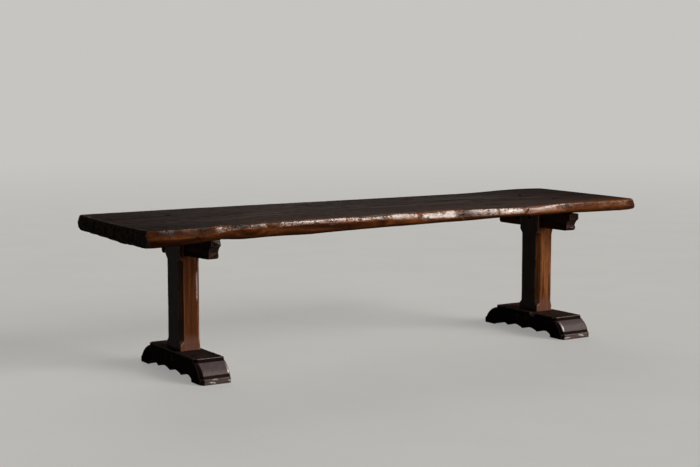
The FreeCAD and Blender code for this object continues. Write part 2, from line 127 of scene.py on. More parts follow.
# Distances from the middle of the table between which those cuts set in, at the front and at the rear
FRONT_CUT_FROM, REAR_CUT_FROM = (0.20, 0.28), (0.16, 0.24)
# Upright painted highlight lines on the front: distance from the piece's left, half width, middle and half
# height
BRIGHT_LINES = {"left_foot": (0.1515, 0.0055, 0.068, 0.026), "right_foot": (0.020, 0.0080, 0.068, 0.026),
                "left_post": (0.0905, 0.0050, 0.430, 0.080)}
# Heights on the feet's ends: top of the plinth, top of the painted-shadow hollow above it, and bottom of the
# riser
FOOT_LEVELS = (0.030, 0.042, 0.098)
# Height of the painted shadow band at the bottom of the riser
RISER_SHADOW = 0.014
# Heights between which the bare blocks at the bottom of the posts turn into the waxed shafts
POST_BLOCK_LEVELS = (0.16, 0.21)

# Measures of the stage

# Where the soft lamps shine from, each with its part of the set strength
LAMPS = {"key": ((0.545, -0.780, 0.310), 1.0), "back": ((0.300, 0.800, 0.520), 0.24)}
LAMP_TINT = (1.0, 0.965, 0.92)
# The wide strip that shows in the polish
STRIP_PLACE = (3.93, -6.68, 6.20)
STRIP_SIZE = (17.5, 4.8)
STRIP_TINT = (1.0, 0.92, 0.83)
CAMERA_PLACE = (-4.0595, -6.2936, 1.4580)
# Degrees that the camera looks down and to the right of the table's depth
CAMERA_DOWN, CAMERA_RIGHT = 6.4217, 31.9026


# Colours and settings

def tone(red, green, blue):
    """A colour written in the usual 0 to 255 steps, as linear light."""
    shares = [part / 255 for part in (red, green, blue)]
    return tuple(s / 12.92 if s <= 0.04045 else ((s + 0.055) / 1.055) ** 2.4 for s in shares)


def rgba(value, part=1.0):
    """A colour for a node's socket, or a darker part of it."""
    return (*(channel * part for channel in value), 1.0)


# Painted shade for faces that look to the left
SOOT = rgba(tone(22, 16, 14))
GRIME = rgba(tone(12, 9, 8))
DUST = rgba(tone(120, 108, 98))
# Painted sheen on the feet's moulded ends
GREY_BLOOM = rgba(tone(104, 92, 93))
# Painted highlight on flats and lines that have shine
BROKEN_WAX = rgba(tone(172, 153, 147))
BARE_BLOCK = rgba(tone(116, 86, 76))
MOULDING_SHADOW = rgba(tone(30, 12, 9))
WARM_STREAK = rgba(tone(62, 36, 29))
BROWN_RIM = rgba(tone(82, 58, 45))
HONEY_RIM = rgba(tone(116, 70, 41))
KNOT_HALO = rgba(tone(58, 30, 20))
KNOT_HEART = rgba(tone(13, 8, 6))
DARK_TIP = rgba(tone(46, 31, 24))
# A paler pink stretch of the front edge: partly rubbed sapwood, partly painted sheen
RUBBED_SAPWOOD = rgba(tone(156, 108, 82))
PLANK_GRIME = rgba(tone(14, 10, 8))


def size(name, note, value, **limits):
    return FloatProperty(name=name, description=note, default=value, unit="LENGTH", precision=4, **limits)


def share(name, note, value):
    return FloatProperty(name=name, description=note, default=value, min=0, max=1, subtype="FACTOR")


def colour(name, note, *rgb):
    return FloatVectorProperty(name=name, description=note, default=tone(*rgb), size=3, min=0, max=1,
                               subtype="COLOR")


class PlankSettings(bpy.types.PropertyGroup):
    """Sizes and colours of the plank top."""

    along: IntProperty(name="Steps along", description="Mesh steps along the top", default=420, min=60)
    across: IntProperty(name="Steps across", description="Mesh steps across the top", default=60, min=20)
    top_arris: size("Top arris", "Usual rounding of the upper edge", 0.0055)
    under_arris: size("Under arris", "Usual rounding of the lower edge", 0.005)
    cut_depth: size("Cut depth", "Depth of the deepest drawknife cuts along the live edges", 0.0015)
    lobe_depth: size("Lobe depth", "Depth of the clefts between the lobes of the left end", 0.009)
    swell: size("Swell", "How far the underside hangs lower at the front left corner", 0.007)
    top_relief: size("Top relief", "How far the worn top dips", 0.0022)
    dark: colour("Top dark", "Darkest streaks of the top", 26, 21, 19)
    mid: colour("Top middle", "Usual colour of the top", 55, 48, 45)
    light: colour("Top light", "Palest streaks of the top", 82, 69, 62)
    edge_dark: colour("Edge dark", "Dark streaks of the live edge", 30, 15, 8)
    edge_mid: colour("Edge middle", "Usual colour of the live edge", 82, 43, 21)
    edge_light: colour("Edge light", "Rubbed places of the live edge", 140, 78, 37)
    end_wood: colour("End grain", "The hewn end grain", 62, 53, 48)


class PostSettings(bpy.types.PropertyGroup):
    """Sizes and colours of the two posts."""

    voxel: size("Mesh step", "Mesh step of the posts", 0.0027, min=0.001)
    waves: size("Waves", "Depth of the unevenness left by the plane", 0.0016)
    marks: size("Tool marks", "Depth of the tool marks", 0.0008)
    chips: size("Chips", "Depth of the chips along the arrises", 0.003)
    dark: colour("Dark", "Dark grain of the posts", 46, 23, 12)
    mid: colour("Middle", "Usual colour of the posts", 100, 56, 31)
    light: colour("Light", "Pale grain of the posts", 158, 100, 62)
    arris: colour("Arris", "Rubbed arrises of the posts", 186, 122, 78)


class FootSettings(bpy.types.PropertyGroup):
    """Sizes and colours of the two feet."""

    voxel: size("Mesh step", "Mesh step of the feet", 0.0026, min=0.001)
    waves: size("Waves", "Depth of the unevenness left by wear", 0.0014)
    marks: size("Tool marks", "Depth of the tool marks", 0.0007)
    chips: size("Chips", "Depth of the chips along the arrises", 0.005)
    dark: colour("Dark", "Dark grain of the feet", 16, 10, 9)
    mid: colour("Middle", "Usual colour of the feet", 40, 27, 24)
    light: colour("Light", "Pale grain of the feet", 72, 47, 39)
    arris: colour("Arris", "Rubbed arrises of the feet", 134, 112, 103)


class BolsterSettings(bpy.types.PropertyGroup):
    """Sizes and colours of the two bolsters."""

    voxel: size("Mesh step", "Mesh step of the bolsters", 0.0022, min=0.001)
    waves: size("Waves", "Depth of the unevenness left by the axe", 0.0018)
    marks: size("Tool marks", "Depth of the tool marks", 0.0010)
    chips: size("Chips", "Depth of the chips along the arrises", 0.004)
    dark: colour("Dark", "Dark grain of the bolsters", 15, 10, 8)
    mid: colour("Middle", "Usual colour of the bolsters", 38, 24, 19)
    light: colour("Light", "Pale grain of the bolsters", 80, 51, 38)
    arris: colour("Arris", "Rubbed arrises of the bolsters", 150, 124, 112)


class PegSettings(bpy.types.PropertyGroup):
    """Sizes and colours of the pegs, trenails and wedges."""

    facets: size("Facets", "Depth of the riven flats on a peg", 0.0006)
    dome: share("Dome", "How far a peg's end is rounded, as a share of its length", 0.012)
    dark: colour("Dark", "Dark grain of the pegs", 22, 15, 12)
    mid: colour("Middle", "Usual colour of the pegs", 44, 31, 25)
    light: colour("Light", "Pale grain of the pegs", 76, 54, 41)
    arris: colour("Arris", "Rubbed arrises of the pegs", 86, 64, 50)


class StageSettings(bpy.types.PropertyGroup):
    """Floor, lamps and camera."""

    floor_radius: size("Floor radius", "Reach of the floor", 60.0)
    floor: colour("Floor", "Pale floor", 240, 238, 234)
    backdrop: colour("Backdrop", "Pale surroundings as the camera and reflections see them", 198, 197, 194)
    fill: FloatProperty(name="Fill", description="Strength of the light from all round", default=0.10, min=0)
    key: FloatProperty(name="Key", description="Strength of the soft light from the right", default=3.0,
                       min=0)
    softness: FloatProperty(name="Softness", description="How wide the soft lamps look from the table",
                            default=math.radians(38), min=0, subtype="ANGLE")
    strip: FloatProperty(name="Strip", description="Power of the wide strip that only shows in the polish",
                         default=3000, min=0, unit="POWER")
    glow: share("Floor glow", "Share of the floor's paleness that doesn't depend on the lamps", 0.48)
    lens: FloatProperty(name="Lens", description="Focal length", default=73.63, unit="CAMERA")


# Node helpers

class Wire:
    """A node's output that takes part in sums like a number or a vector; each operation adds a node."""

    def __init__(self, tree, socket):
        self.tree, self.socket = tree, socket

    def __add__(self, other):
        return maths("ADD", self, other)

    def __sub__(self, other):
        return maths("SUBTRACT", self, other)

    def __rsub__(self, other):
        return maths("SUBTRACT", other, self)

    def __truediv__(self, other):
        return maths("DIVIDE", self, other)

    def __rtruediv__(self, other):
        return maths("DIVIDE", other, self)

    def __mul__(self, other):
        if is_vector(self) == is_vector(other):
            return maths("MULTIPLY", self, other)
        vector, scale = (self, other) if is_vector(self) else (other, self)
        return put(self.tree, "ShaderNodeVectorMath", {0: vector, "Scale": scale}, operation="SCALE")

    def __abs__(self):
        return maths("ABSOLUTE", self)

    def length(self):
        return put(self.tree, "ShaderNodeVectorMath", {0: self}, "Value", operation="LENGTH")

    def dot(self, other):
        return put(self.tree, "ShaderNodeVectorMath", {0: self, 1: other}, "Value", operation="DOT_PRODUCT")

    def part(self, axis):
        return put(self.tree, "ShaderNodeSeparateXYZ", {0: self}, axis)


def is_vector(value):
    return value.socket.type in ("VECTOR", "RGBA") if isinstance(value, Wire) else isinstance(value, tuple)


def tree_of(*values):
    """The node tree that the wires among some values belong to."""
    return next(value.tree for value in values if isinstance(value, Wire))


def feed(node, inputs):
    """Sets a node's inputs to values or links them to wires."""
    for key, value in inputs.items():
        if isinstance(value, Wire):
            value.tree.links.new(value.socket, node.inputs[key])
        else:
            node.inputs[key].default_value = value


def put(tree, kind, inputs=None, out=0, **settings):
    """Adds a node, sets its properties, feeds its inputs and gives one of its outputs."""
    node = tree.nodes.new(kind)
    for name, value in settings.items():
        setattr(node, name, value)
    feed(node, inputs or {})
    return Wire(tree, node.outputs[out])


def maths(operation, *values):
    """A Math node, or a Vector Math node where one of the values is a vector."""
    kind = "ShaderNodeVectorMath" if any(map(is_vector, values)) else "ShaderNodeMath"
    return put(tree_of(*values), kind, dict(enumerate(values)), operation=operation)


def most(*values):
    return reduce(partial(maths, "MAXIMUM"), values)


def ramp(value, low, high, first=0.0, last=1.0):
    """A smooth step from first to last as the value goes from low to high."""
    limits = {"From Min": low, "From Max": high, "To Min": first, "To Max": last}
    return put(value.tree, "ShaderNodeMapRange", {"Value": value, **limits}, interpolation_type="SMOOTHSTEP")


def band(value, low, high, soft):
    """One where a value lies between two limits, easing off outside them."""
    return ramp(value, low - soft, low) * ramp(value, high + soft, high)


def mix(factor, first, second):
    """A mix of two colours, or of two numbers where the first one is a number's wire."""
    number = isinstance(first, Wire) and first.socket.type == "VALUE"
    kind, low, high, out = ("FLOAT", 2, 3, 0) if number else ("RGBA", 6, 7, 2)
    return put(tree_of(factor, first, second), "ShaderNodeMix", {0: factor, low: first, high: second}, out,
               data_type=kind)


def noise(vector, scale, detail=2.0, roughness=0.5, out="Fac"):
    return put(vector.tree, "ShaderNodeTexNoise", {"Vector": vector, "Scale": scale, "Detail": detail,
                                                   "Roughness": roughness}, out)


def new_group(name, kind, inputs, outputs):
    """An empty node group with named sockets, the wires of its inputs, and its output node."""
    tree = bpy.data.node_groups.new(name, kind)
    for title, socket, *default in inputs:
        made = tree.interface.new_socket(title, in_out="INPUT", socket_type="NodeSocket" + socket)
        if default:
            made.default_value = default[0]
    for title, socket in outputs:
        tree.interface.new_socket(title, in_out="OUTPUT", socket_type="NodeSocket" + socket)
    given = {socket.name: Wire(tree, socket) for socket in tree.nodes.new("NodeGroupInput").outputs}
    return tree, given, tree.nodes.new("NodeGroupOutput")


def use(tree, group, **inputs):
    """Places a shared group in a material; underscores in the names stand for spaces."""
    node = tree.nodes.new("ShaderNodeGroup")
    node.node_tree = bpy.data.node_groups[group]
    feed(node, {name.replace("_", " "): value for name, value in inputs.items()})
    return {socket.name: Wire(tree, socket) for socket in node.outputs}


def stored(tree, name):
    return put(tree, "ShaderNodeAttribute", out="Fac", attribute_name=name)


def facing(normal, axis, low, high):
    """One where the surface looks along an axis, either way, nought elsewhere."""
    return ramp(abs(normal.dot(axis)), low, high)


def bumped(relief, distance, strength):
    return put(relief.tree, "ShaderNodeBump", {"Height": relief, "Distance": distance, "Strength": strength})


def seen_rays(tree):
    """One for rays that show the surroundings, nought for those that light the table."""
    path = tree.nodes.new("ShaderNodeLightPath").outputs
    return most(*(Wire(tree, path["Is %s Ray" % kind]) for kind in ("Camera", "Glossy", "Transmission")))


def start_material(name, turn=(0, 0, 0), fine=1.0):
    """A material with its shader, object coordinates, and those turned and scaled to follow the grain."""
    material = bpy.data.materials.new(name)
    material.use_nodes = True
    tree = material.node_tree
    plain = put(tree, "ShaderNodeTexCoord", out="Object")
    grain = put(tree, "ShaderNodeMapping", {"Vector": plain, "Rotation": turn, "Scale": (fine, fine, fine)})
    return material, tree, tree.nodes["Principled BSDF"], plain, grain


# Shared finishes

def timber_figure():
    """Growth rings, streaks, fibres and pores of wood whose grain runs along X."""
    _, given, out = new_group(
        "Timber Figure", "ShaderNodeTree",
        (("Vector", "Vector"), ("Seed", "Float", 0.0), ("Ring Size", "Float", 0.012),
         ("Ring Weight", "Float", 0.3), ("Pith", "Vector", (0, 0, -0.1)), ("Dark", "Color"), ("Mid", "Color"),
         ("Light", "Color")),
        (("Colour", "Color"), ("Fibre", "Float"), ("Pores", "Float")))
    place = given["Vector"] + given["Seed"] * (3.7, 1.9, 2.3)
    warp = noise(place * (0.16, 1, 1), 5.0, 3, out="Color") - (0.5, 0.5, 0.5)
    bent = given["Vector"] - given["Pith"] + warp * 0.13
    rings = maths("PINGPONG", (bent * (0, 1, 1)).length() / given["Ring Size"], 1.0)
    streak = noise(place * (1.8, 42, 42), 1.0, 4, 0.6)
    fibre = noise(place * (11, 330, 330), 1.0, 2, 0.6)
    blotch = noise(place * (1.3, 4, 4), 1.0, 3)
    pores = ramp(noise(place * (55, 1150, 1150), 1.0, 1), 0.60, 0.70)
    depth = (rings - 0.5) * given["Ring Weight"] + (streak * 0.55 + fibre * 0.30) + 0.15
    base = mix(ramp(depth, 0.34, 0.66), given["Dark"], given["Mid"])
    base = mix(ramp(depth * 0.65 + blotch * 0.55, 0.58, 0.86), base, given["Light"])
    base = mix(pores * 0.45, base, given["Dark"])
    feed(out, {"Colour": base, "Fibre": fibre, "Pores": pores})


def edge_wear():
    """Breaks the stored wear and hollow values up into rubbed places and darker hollows."""
    _, given, out = new_group(
        "Edge Wear", "ShaderNodeTree",
        (("Vector", "Vector"), ("Wear", "Float", 0.0), ("Hollow", "Float", 0.0)),
        (("Worn", "Float"), ("Grime", "Float")))
    rough = noise(given["Vector"], 11.0, 3) * 0.9 + noise(given["Vector"], 75.0, 3) * 0.7
    feed(out, {"Worn": ramp(given["Wear"] * rough, 0.22, 0.85),
               "Grime": ramp(given["Hollow"] * rough, 0.10, 0.60)})


def old_wax():
    """Uneven polish: roughness between a shiny and a dull value, with small dents."""
    tree, given, out = new_group(
        "Old Wax", "ShaderNodeTree",
        (("Vector", "Vector"), ("Shiny", "Float", 0.3), ("Dull", "Float", 0.55)),
        (("Roughness", "Float"), ("Dents", "Float")))
    mottle = noise(given["Vector"], 16.0, 5, 0.6) * 0.7 + noise(given["Vector"], 120.0, 2) * 0.3
    pits = put(tree, "ShaderNodeTexVoronoi", {"Vector": given["Vector"], "Scale": 38.0, "Randomness": 1.0},
               "Distance")
    feed(out, {"Roughness": mix(ramp(mottle, 0.36, 0.66), given["Shiny"], given["Dull"]),
               "Dents": ramp(pits, 0.05, 0.28)})


def dust_film():
    """A thin uneven film on faces that look up, heavier in the hollows."""
    _, given, out = new_group(
        "Dust Film", "ShaderNodeTree",
        (("Vector", "Vector"), ("Normal", "Vector"), ("Hollow", "Float", 0.0), ("Amount", "Float", 0.2)),
        (("Dust", "Float"),))
    patch = ramp(noise(given["Vector"], 21.0, 4, 0.6), 0.35, 0.75, 0.35, 1.0)
    lying = ramp(given["Normal"].part("Z"), 0.55, 0.98) * patch * given["Amount"]
    feed(out, {"Dust": lying + given["Hollow"] * 0.15})


def trestle_wood(name, settings, axis, seed, pith, shiny=0.34, dull=0.55, wear=0.5, right_wear=0.0, gleam=0.3,
                 bumps=0.4, rings=0.2, fine=1.0, ends=0.45, bloom=0.0, dim=0.0, dust=0.03, soot=0.0,
                 soot_from=0.75, scuffs=0.0, levels=None):
    """Waxed old timber with its grain along one axis and darker ends.

    The levels part a foot's plinth, moulding and riser, with painted shadow bands in the hollow over the
    plinth and at the foot of the riser, and the grey sheen paints a sheen that greys the moulding. The side
    shade paints shade on what looks to the left, the right highlight paints a highlight on arrises that look
    to the right, and dim paints shade over the whole piece. The scuffs pale the bottom of a post with scuffed
    wood, and a foot's plinth with scuffed wood and painted highlight.
    """
    upright = axis == "Z"
    turn = {"X": (0, 0, 0), "Y": (0, 0, -math.pi / 2), "Z": (0, math.pi / 2, 0)}[axis]
    turned = {"X": (1, 0, 0), "Y": (0, 1, 0), "Z": (0, 0, 1)}[axis]
    material, tree, shader, plain, grain = start_material(name, turn, fine)
    normal = put(tree, "ShaderNodeNewGeometry", out="Normal")
    hollow = stored(tree, "hollow")
    dark, arris = rgba(settings.dark), rgba(settings.arris)
    figure = use(tree, "Timber Figure", Vector=grain, Seed=seed, Ring_Size=0.011 * fine, Ring_Weight=rings,
                 Pith=[part * fine for part in pith], Dark=dark, Mid=rgba(settings.mid),
                 Light=rgba(settings.light))
    rubbed = use(tree, "Edge Wear", Vector=plain, Wear=stored(tree, "wear"), Hollow=hollow)
    wax = use(tree, "Old Wax", Vector=plain, Shiny=shiny, Dull=dull)
    film = use(tree, "Dust Film", Vector=plain, Normal=normal, Hollow=hollow, Amount=dust)

    at_end = facing(normal, turned, 0.30, 0.70)
    shade = mix(facing(normal, turned, 0.55, 0.90) * ends, figure["Colour"], dark)
    shade = mix(dim, shade, dark)
    moulded = at_end * facing(normal, turned, 0.985, 0.90)
    level = plain.part("Z")
    worn = rubbed["Worn"]
    open_to_dust = 1.0
    if upright:
        block_top, shaft_foot = POST_BLOCK_LEVELS
        shade = mix(ramp(level, shaft_foot, block_top, 0.0, scuffs), shade, BARE_BLOCK)
    else:
        worn = worn * ramp(at_end, 0, 1, 0.3, 1)
    if levels:
        plinth_top, hollow_top, riser_foot = levels
        # Painted sheen greys the moulding, more towards its top, which the lamps light less
        cloud = ramp(noise(plain, 30.0, 4, 0.6), 0.25, 0.75, 0.75, 1.0)
        rising = ramp(level, hollow_top, riser_foot, 0.8 * bloom, 1.7 * bloom)
        shade = mix(facing(normal, turned, 0.15, 0.40) * (cloud * rising), shade, GREY_BLOOM)
        # Painted shadow bands over the plinth and at the bottom of the riser, kept free of dust and coat
        shadows = most(band(level, plinth_top + 0.002, hollow_top, 0.003),
                       band(level, riser_foot, riser_foot + RISER_SHADOW, 0.003))
        shade = mix(shadows * 0.95, shade, MOULDING_SHADOW)
        open_to_dust = 1.0 - shadows
        moulded = moulded * open_to_dust
        # The plinth is paled in patches: partly scuffed wood, partly painted highlight
        plinth = at_end * ramp(level, plinth_top + 0.001, plinth_top - 0.002)
        scuffed = ramp(noise(plain * (40, 40, 160), 1.0, 3, 0.6), 0.35, 0.65, 0.05, scuffs)
        shade = mix(plinth * scuffed, shade, arris)
        worn = worn * ramp(plinth, 0, 1, 1.0, scuffs + 0.2)
    # Painted shade darkens the faces that look to the left
    leftward = ramp(normal.dot((-1, 0, 0)), soot_from, soot_from + 0.2, 0.0, soot)
    # Painted highlight on the arrises that look to the right, over their real wear
    rightward = ramp(normal.dot((1, 0, 0)), 0.05, 0.30, wear, max(wear, right_wear))
    # Painted highlight, with a full coat, where a flat or a line has shine
    broken = stored(tree, "shine") * ramp(noise(plain, 140.0, 2), 0.3, 0.6, 0.3, 1)
    for much, tint in ((leftward, SOOT), (worn * rightward, arris), (broken * 0.65, BROKEN_WAX),
                       (rubbed["Grime"] * 0.8, GRIME), (film["Dust"] * open_to_dust, DUST)):
        shade = mix(much, shade, tint)

    relief = figure["Fibre"] * 0.5 + (figure["Pores"] * -0.6 + wax["Dents"] * 0.5)
    shining = most(worn * gleam, moulded * (1.0 - leftward) * 0.1, 0.01)
    if upright:
        shining = most(shining, leftward * 0.12)
    lying = wax["Roughness"] + facing(normal, (0, 0, 1), 0.8, 0.97)
    polish = shining * ramp(lying, shiny, dull + 0.4, 1.0, 0.15)
    feed(shader, {"Base Color": shade, "Roughness": wax["Roughness"] + film["Dust"] * 0.5,
                  "Normal": bumped(relief, 0.0005, bumps), "Coat Weight": most(polish, broken),
                  "Coat Roughness": 0.30, "Specular IOR Level": 0.0})
    return material


def plank_wood(settings):
    """Dark worn top, honey live edges and black hewn ends of the plank."""
    material, tree, shader, plain, grain = start_material("Plank Wood")
    normal = put(tree, "ShaderNodeNewGeometry", out="Normal")
    along = plain.part("X")
    dark = rgba(settings.dark)
    edge_dark, edge_light = rgba(settings.edge_dark), rgba(settings.edge_light)
    figure = use(tree, "Timber Figure", Vector=grain, Seed=0.0, Ring_Size=0.017, Ring_Weight=0.25,
                 Pith=PLANK_PITH, Dark=dark, Mid=rgba(settings.mid), Light=rgba(settings.light))
    sapwood = use(tree, "Timber Figure", Vector=grain, Seed=8.0, Ring_Size=0.013, Ring_Weight=0.2,
                  Pith=PLANK_PITH, Dark=edge_dark, Mid=rgba(settings.edge_mid), Light=edge_light)
    rubbed = use(tree, "Edge Wear", Vector=plain, Wear=stored(tree, "wear"), Hollow=stored(tree, "hollow"))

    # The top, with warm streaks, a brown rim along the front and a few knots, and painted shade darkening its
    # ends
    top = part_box("top_slab")[1].z
    knots = [((plain - (spot, across, top)) * (1 / half_length, 1 / half_width, 10)).length()
             for spot, across, half_length, half_width in TOP_KNOTS]
    hearts = most(*(ramp(away, 0.55, 0.25) for away in knots))
    halos = most(*(ramp(away, 1.7, 0.6) for away in knots)) * ramp(figure["Fibre"], 0.3, 0.6, 0.5, 1.0)
    warm = ramp(noise(plain * (1.3, 14, 9), 1.0, 3, 0.6), 0.48, 0.66, 0.0, 0.6)
    rim = stored(tree, "rim") * ramp(along, -1.10, -0.90, 0.0, 0.75)
    rim = rim * ramp(figure["Fibre"], 0.3, 0.6, 0.8, 1.2)
    rim_wood = mix(ramp(along, 0.80, 1.15), BROWN_RIM, HONEY_RIM)
    shade = figure["Colour"]
    for much, tint in ((ramp(abs(along - 0.15), 0.7, 1.5, 0.0, 0.52), dark), (warm, WARM_STREAK),
                       (rim, rim_wood), (halos * 0.7, KNOT_HALO), (hearts, KNOT_HEART)):
        shade = mix(much, shade, tint)

    # The live edges, with dark pits and a dark tip; painted light makes them palest towards the right and
    # painted shade darkens them towards the left
    bare = ramp(stored(tree, "edge") + noise(plain, 17.0, 4, 0.6) * 0.5, 0.45, 0.95)
    speckle = noise(plain * (110, 170, 170), 1.0, 3, 0.65)
    mottle = ramp(noise(plain * (45, 80, 80), 1.0, 4, 0.7), 0.50, 0.66, 0.0, 0.75)
    honey = sapwood["Colour"]
    for much, tint in ((ramp(along, 0.90, 1.30, 0.0, 0.45), edge_light),
                       (ramp(along, -0.80, -1.30, 0.0, 0.40), edge_dark),
                       (ramp(along, 1.36, 1.49, 0.0, 0.92), DARK_TIP),
                       (band(along, 0.71, 0.92, 0.06) * 0.5, RUBBED_SAPWOOD),
                       (ramp(speckle, 0.46, 0.34, 0.0, 0.6), edge_dark),
                       (mottle * ramp(along, 0.85, 1.10), edge_dark)):
        honey = mix(much, honey, tint)
    rub = rubbed["Worn"] * bare * ramp(along, 0.45, 0.62, 0.25, 0.6)
    # Painted shade darkens the faces that look down
    down = ramp(normal.part("Z"), 0.06, -0.35)

    # The hewn ends
    ragged = noise(plain, 48.0, 3, 0.6)
    hewn = ramp(stored(tree, "end") + ragged * 0.5, 0.45, 0.95)
    end_wood = mix(ramp(ragged, 0.35, 0.65), rgba(settings.end_wood, 0.45), rgba(settings.end_wood))
    for much, tint in ((bare, honey), (rub, edge_light), (down * 0.7, edge_dark), (hewn, end_wood),
                       (rubbed["Grime"] * 0.85, PLANK_GRIME)):
        shade = mix(much, shade, tint)

    # Wax, dull on the top and broken up on the edges
    top_wax = use(tree, "Old Wax", Vector=plain, Shiny=0.62, Dull=0.80)
    edge_wax = use(tree, "Old Wax", Vector=plain, Shiny=0.32, Dull=0.55)
    raw = most(hewn, down)
    rough = mix(raw, mix(bare, top_wax["Roughness"], edge_wax["Roughness"]), 0.9)
    relief = figure["Fibre"] * 0.6 + (figure["Pores"] * -0.5 + (top_wax["Dents"] * 0.15 + speckle * bare))
    whole = ramp(noise(plain, 24.0, 3), 0.34, 0.56, -0.06, 0.05)
    gleam = ramp(speckle + whole, 0.42, 0.56, 0.06, 1.0)
    feed(shader, {"Base Color": shade, "Roughness": rough, "Normal": bumped(relief, 0.0007, 0.6),
                  "Coat Weight": stored(tree, "polish") * gleam * (1.0 - raw), "Coat Roughness": 0.20,
                  "Coat IOR": 1.65, "Specular IOR Level": 0.0})
    return material


# Shared shaping

def typed(sockets, kind):
    """The first socket of a kind among those of a node that has one for each kind of data."""
    return next(socket for socket in sockets if socket.type == kind)


def held(tree, name, kind):
    return put(tree, "GeometryNodeInputNamedAttribute", {"Name": name}, "Attribute", data_type=kind)


def shifted(shape, **inputs):
    return put(shape.tree, "GeometryNodeSetPosition", {"Geometry": shape, **inputs})


def close_group(shape, given, out):
    """Ends a geometry group: realizes what is left of instances and sets the material."""
    shape = put(shape.tree, "GeometryNodeRealizeInstances", {"Geometry": shape})
    shape = put(shape.tree, "GeometryNodeSetMaterial", {"Geometry": shape, "Material": given["Material"]})
    feed(out, {0: shape})


def hewn_surface():
    """Rubs arrises down, adds waves, tool marks and chips, stores the wear, and stays inside a box."""
    tree, given, out = new_group(
        "Hewn Surface", "GeometryNodeTree",
        (("Geometry", "Geometry"), ("Wear", "Float", 0.8), ("Passes", "Int", 6),
         ("Sharpness", "Float", 700.0), ("Waves", "Float", 0.0015), ("Wave Size", "Float", 0.09),
         ("Marks", "Float", 0.001), ("Mark Size", "Float", 0.03), ("Chips", "Float", 0.003),
         ("Stretch", "Vector", (1, 1, 1)), ("Seed", "Float", 0.0), ("Low", "Vector"), ("High", "Vector"),
         ("Material", "Material")),
        (("Geometry", "Geometry"),))
    place = put(tree, "GeometryNodeInputPosition")
    normal = put(tree, "GeometryNodeInputNormal", out="Normal")
    blur = put(tree, "GeometryNodeBlurAttribute", {"Iterations": given["Passes"]}, data_type="FLOAT_VECTOR")
    tree.links.new(place.socket, typed(blur.socket.node.inputs, "VECTOR"))
    step = Wire(tree, typed(blur.socket.node.outputs, "VECTOR")) - place
    proud = step.dot(normal) * -1.0 * given["Sharpness"]
    wear = put(tree, "ShaderNodeClamp", {"Value": proud})
    hollow = put(tree, "ShaderNodeClamp", {"Value": proud * -1.0})
    shape = given["Geometry"]
    for title, value in (("wear", wear), ("hollow", hollow)):
        shape = put(tree, "GeometryNodeStoreNamedAttribute", {"Geometry": shape, "Name": title},
                    data_type="FLOAT", domain="POINT")
        tree.links.new(value.socket, typed(shape.socket.node.inputs, "VALUE"))
    moved = place + given["Seed"] * (5.3, 2.9, 4.1)
    patchy = ramp(noise(moved, 14.0, 3), 0.30, 0.70, 0.35, 1.0)
    shape = shifted(shape, Offset=step * (given["Wear"] * patchy * ramp(wear, 0.0, 0.15)))
    drawn = moved * given["Stretch"]
    waves = noise(drawn * (1.0 / given["Wave Size"]), 1.0, 3)
    cells = put(tree, "ShaderNodeTexVoronoi", {"Vector": drawn * (1.0 / given["Mark Size"]), "Scale": 1.0,
                                               "Smoothness": 0.35}, "Distance", feature="SMOOTH_F1")
    marks = ramp(cells, 0.05, 0.75, 1.0, 0.0)
    chips = ramp(noise(moved, 46.0, 2), 0.56, 0.72) * ramp(held(tree, "wear", "FLOAT"), 0.25, 0.8)
    sink = waves * given["Waves"] + (marks * given["Marks"] + chips * given["Chips"])
    shape = shifted(shape, Offset=normal * (sink * -1.0))
    shape = shifted(shape, Position=maths("MINIMUM", maths("MAXIMUM", place, given["Low"]), given["High"]))
    shape = put(tree, "GeometryNodeSetShadeSmooth", {"Geometry": shape})
    close_group(shape, given, out)


def riven_pegs():
    """A many-sided peg on every point, sized as the point says, with riven flats and rounded ends."""
    tree, given, out = new_group(
        "Riven Pegs", "GeometryNodeTree",
        (("Geometry", "Geometry"), ("Sides", "Int", 8), ("Facets", "Float", 0.0006), ("Dome", "Float", 0.01),
         ("Seed", "Float", 0.0), ("Material", "Material")),
        (("Geometry", "Geometry"),))
    rod = put(tree, "GeometryNodeMeshCylinder", {"Vertices": given["Sides"], "Side Segments": 24,
                                                 "Fill Segments": 3, "Radius": 0.5, "Depth": 1.0}, "Mesh")
    place = put(tree, "GeometryNodeInputPosition")
    level = place.part("Z")
    reach = maths("POWER", (place * (2, 2, 0)).length(), 2.0)
    round_off = reach * given["Dome"] * ramp(abs(level), 0.480, 0.499, 0.0, -1.0)
    lower = put(tree, "ShaderNodeCombineXYZ", {"Z": round_off * maths("SIGN", level)})
    points = put(tree, "GeometryNodeMeshToPoints", {"Mesh": given["Geometry"]})
    spin = put(tree, "FunctionNodeEulerToRotation", {0: held(tree, "turn", "FLOAT_VECTOR")})
    rod = shifted(rod, Offset=lower)
    shape = put(tree, "GeometryNodeInstanceOnPoints", {"Points": points, "Instance": rod, "Rotation": spin,
                                                       "Scale": held(tree, "span", "FLOAT_VECTOR")})
    shape = put(tree, "GeometryNodeRealizeInstances", {"Geometry": shape})
    normal = put(tree, "GeometryNodeInputNormal", out="Normal")
    moved = place + given["Seed"] * (5.3, 2.9, 4.1)
    sink = noise(moved * (20, 120, 120), 1.0, 2) * (given["Facets"] * -1.0)
    close_group(shifted(shape, Offset=normal * sink), given, out)


def make_groups():
    for maker in (timber_figure, edge_wear, old_wax, dust_film, hewn_surface, riven_pegs):
        maker()


def linked(name, data):
    """A new object in the scene."""
    made = bpy.data.objects.new(name, data)
    bpy.context.scene.collection.objects.link(made)
    return made


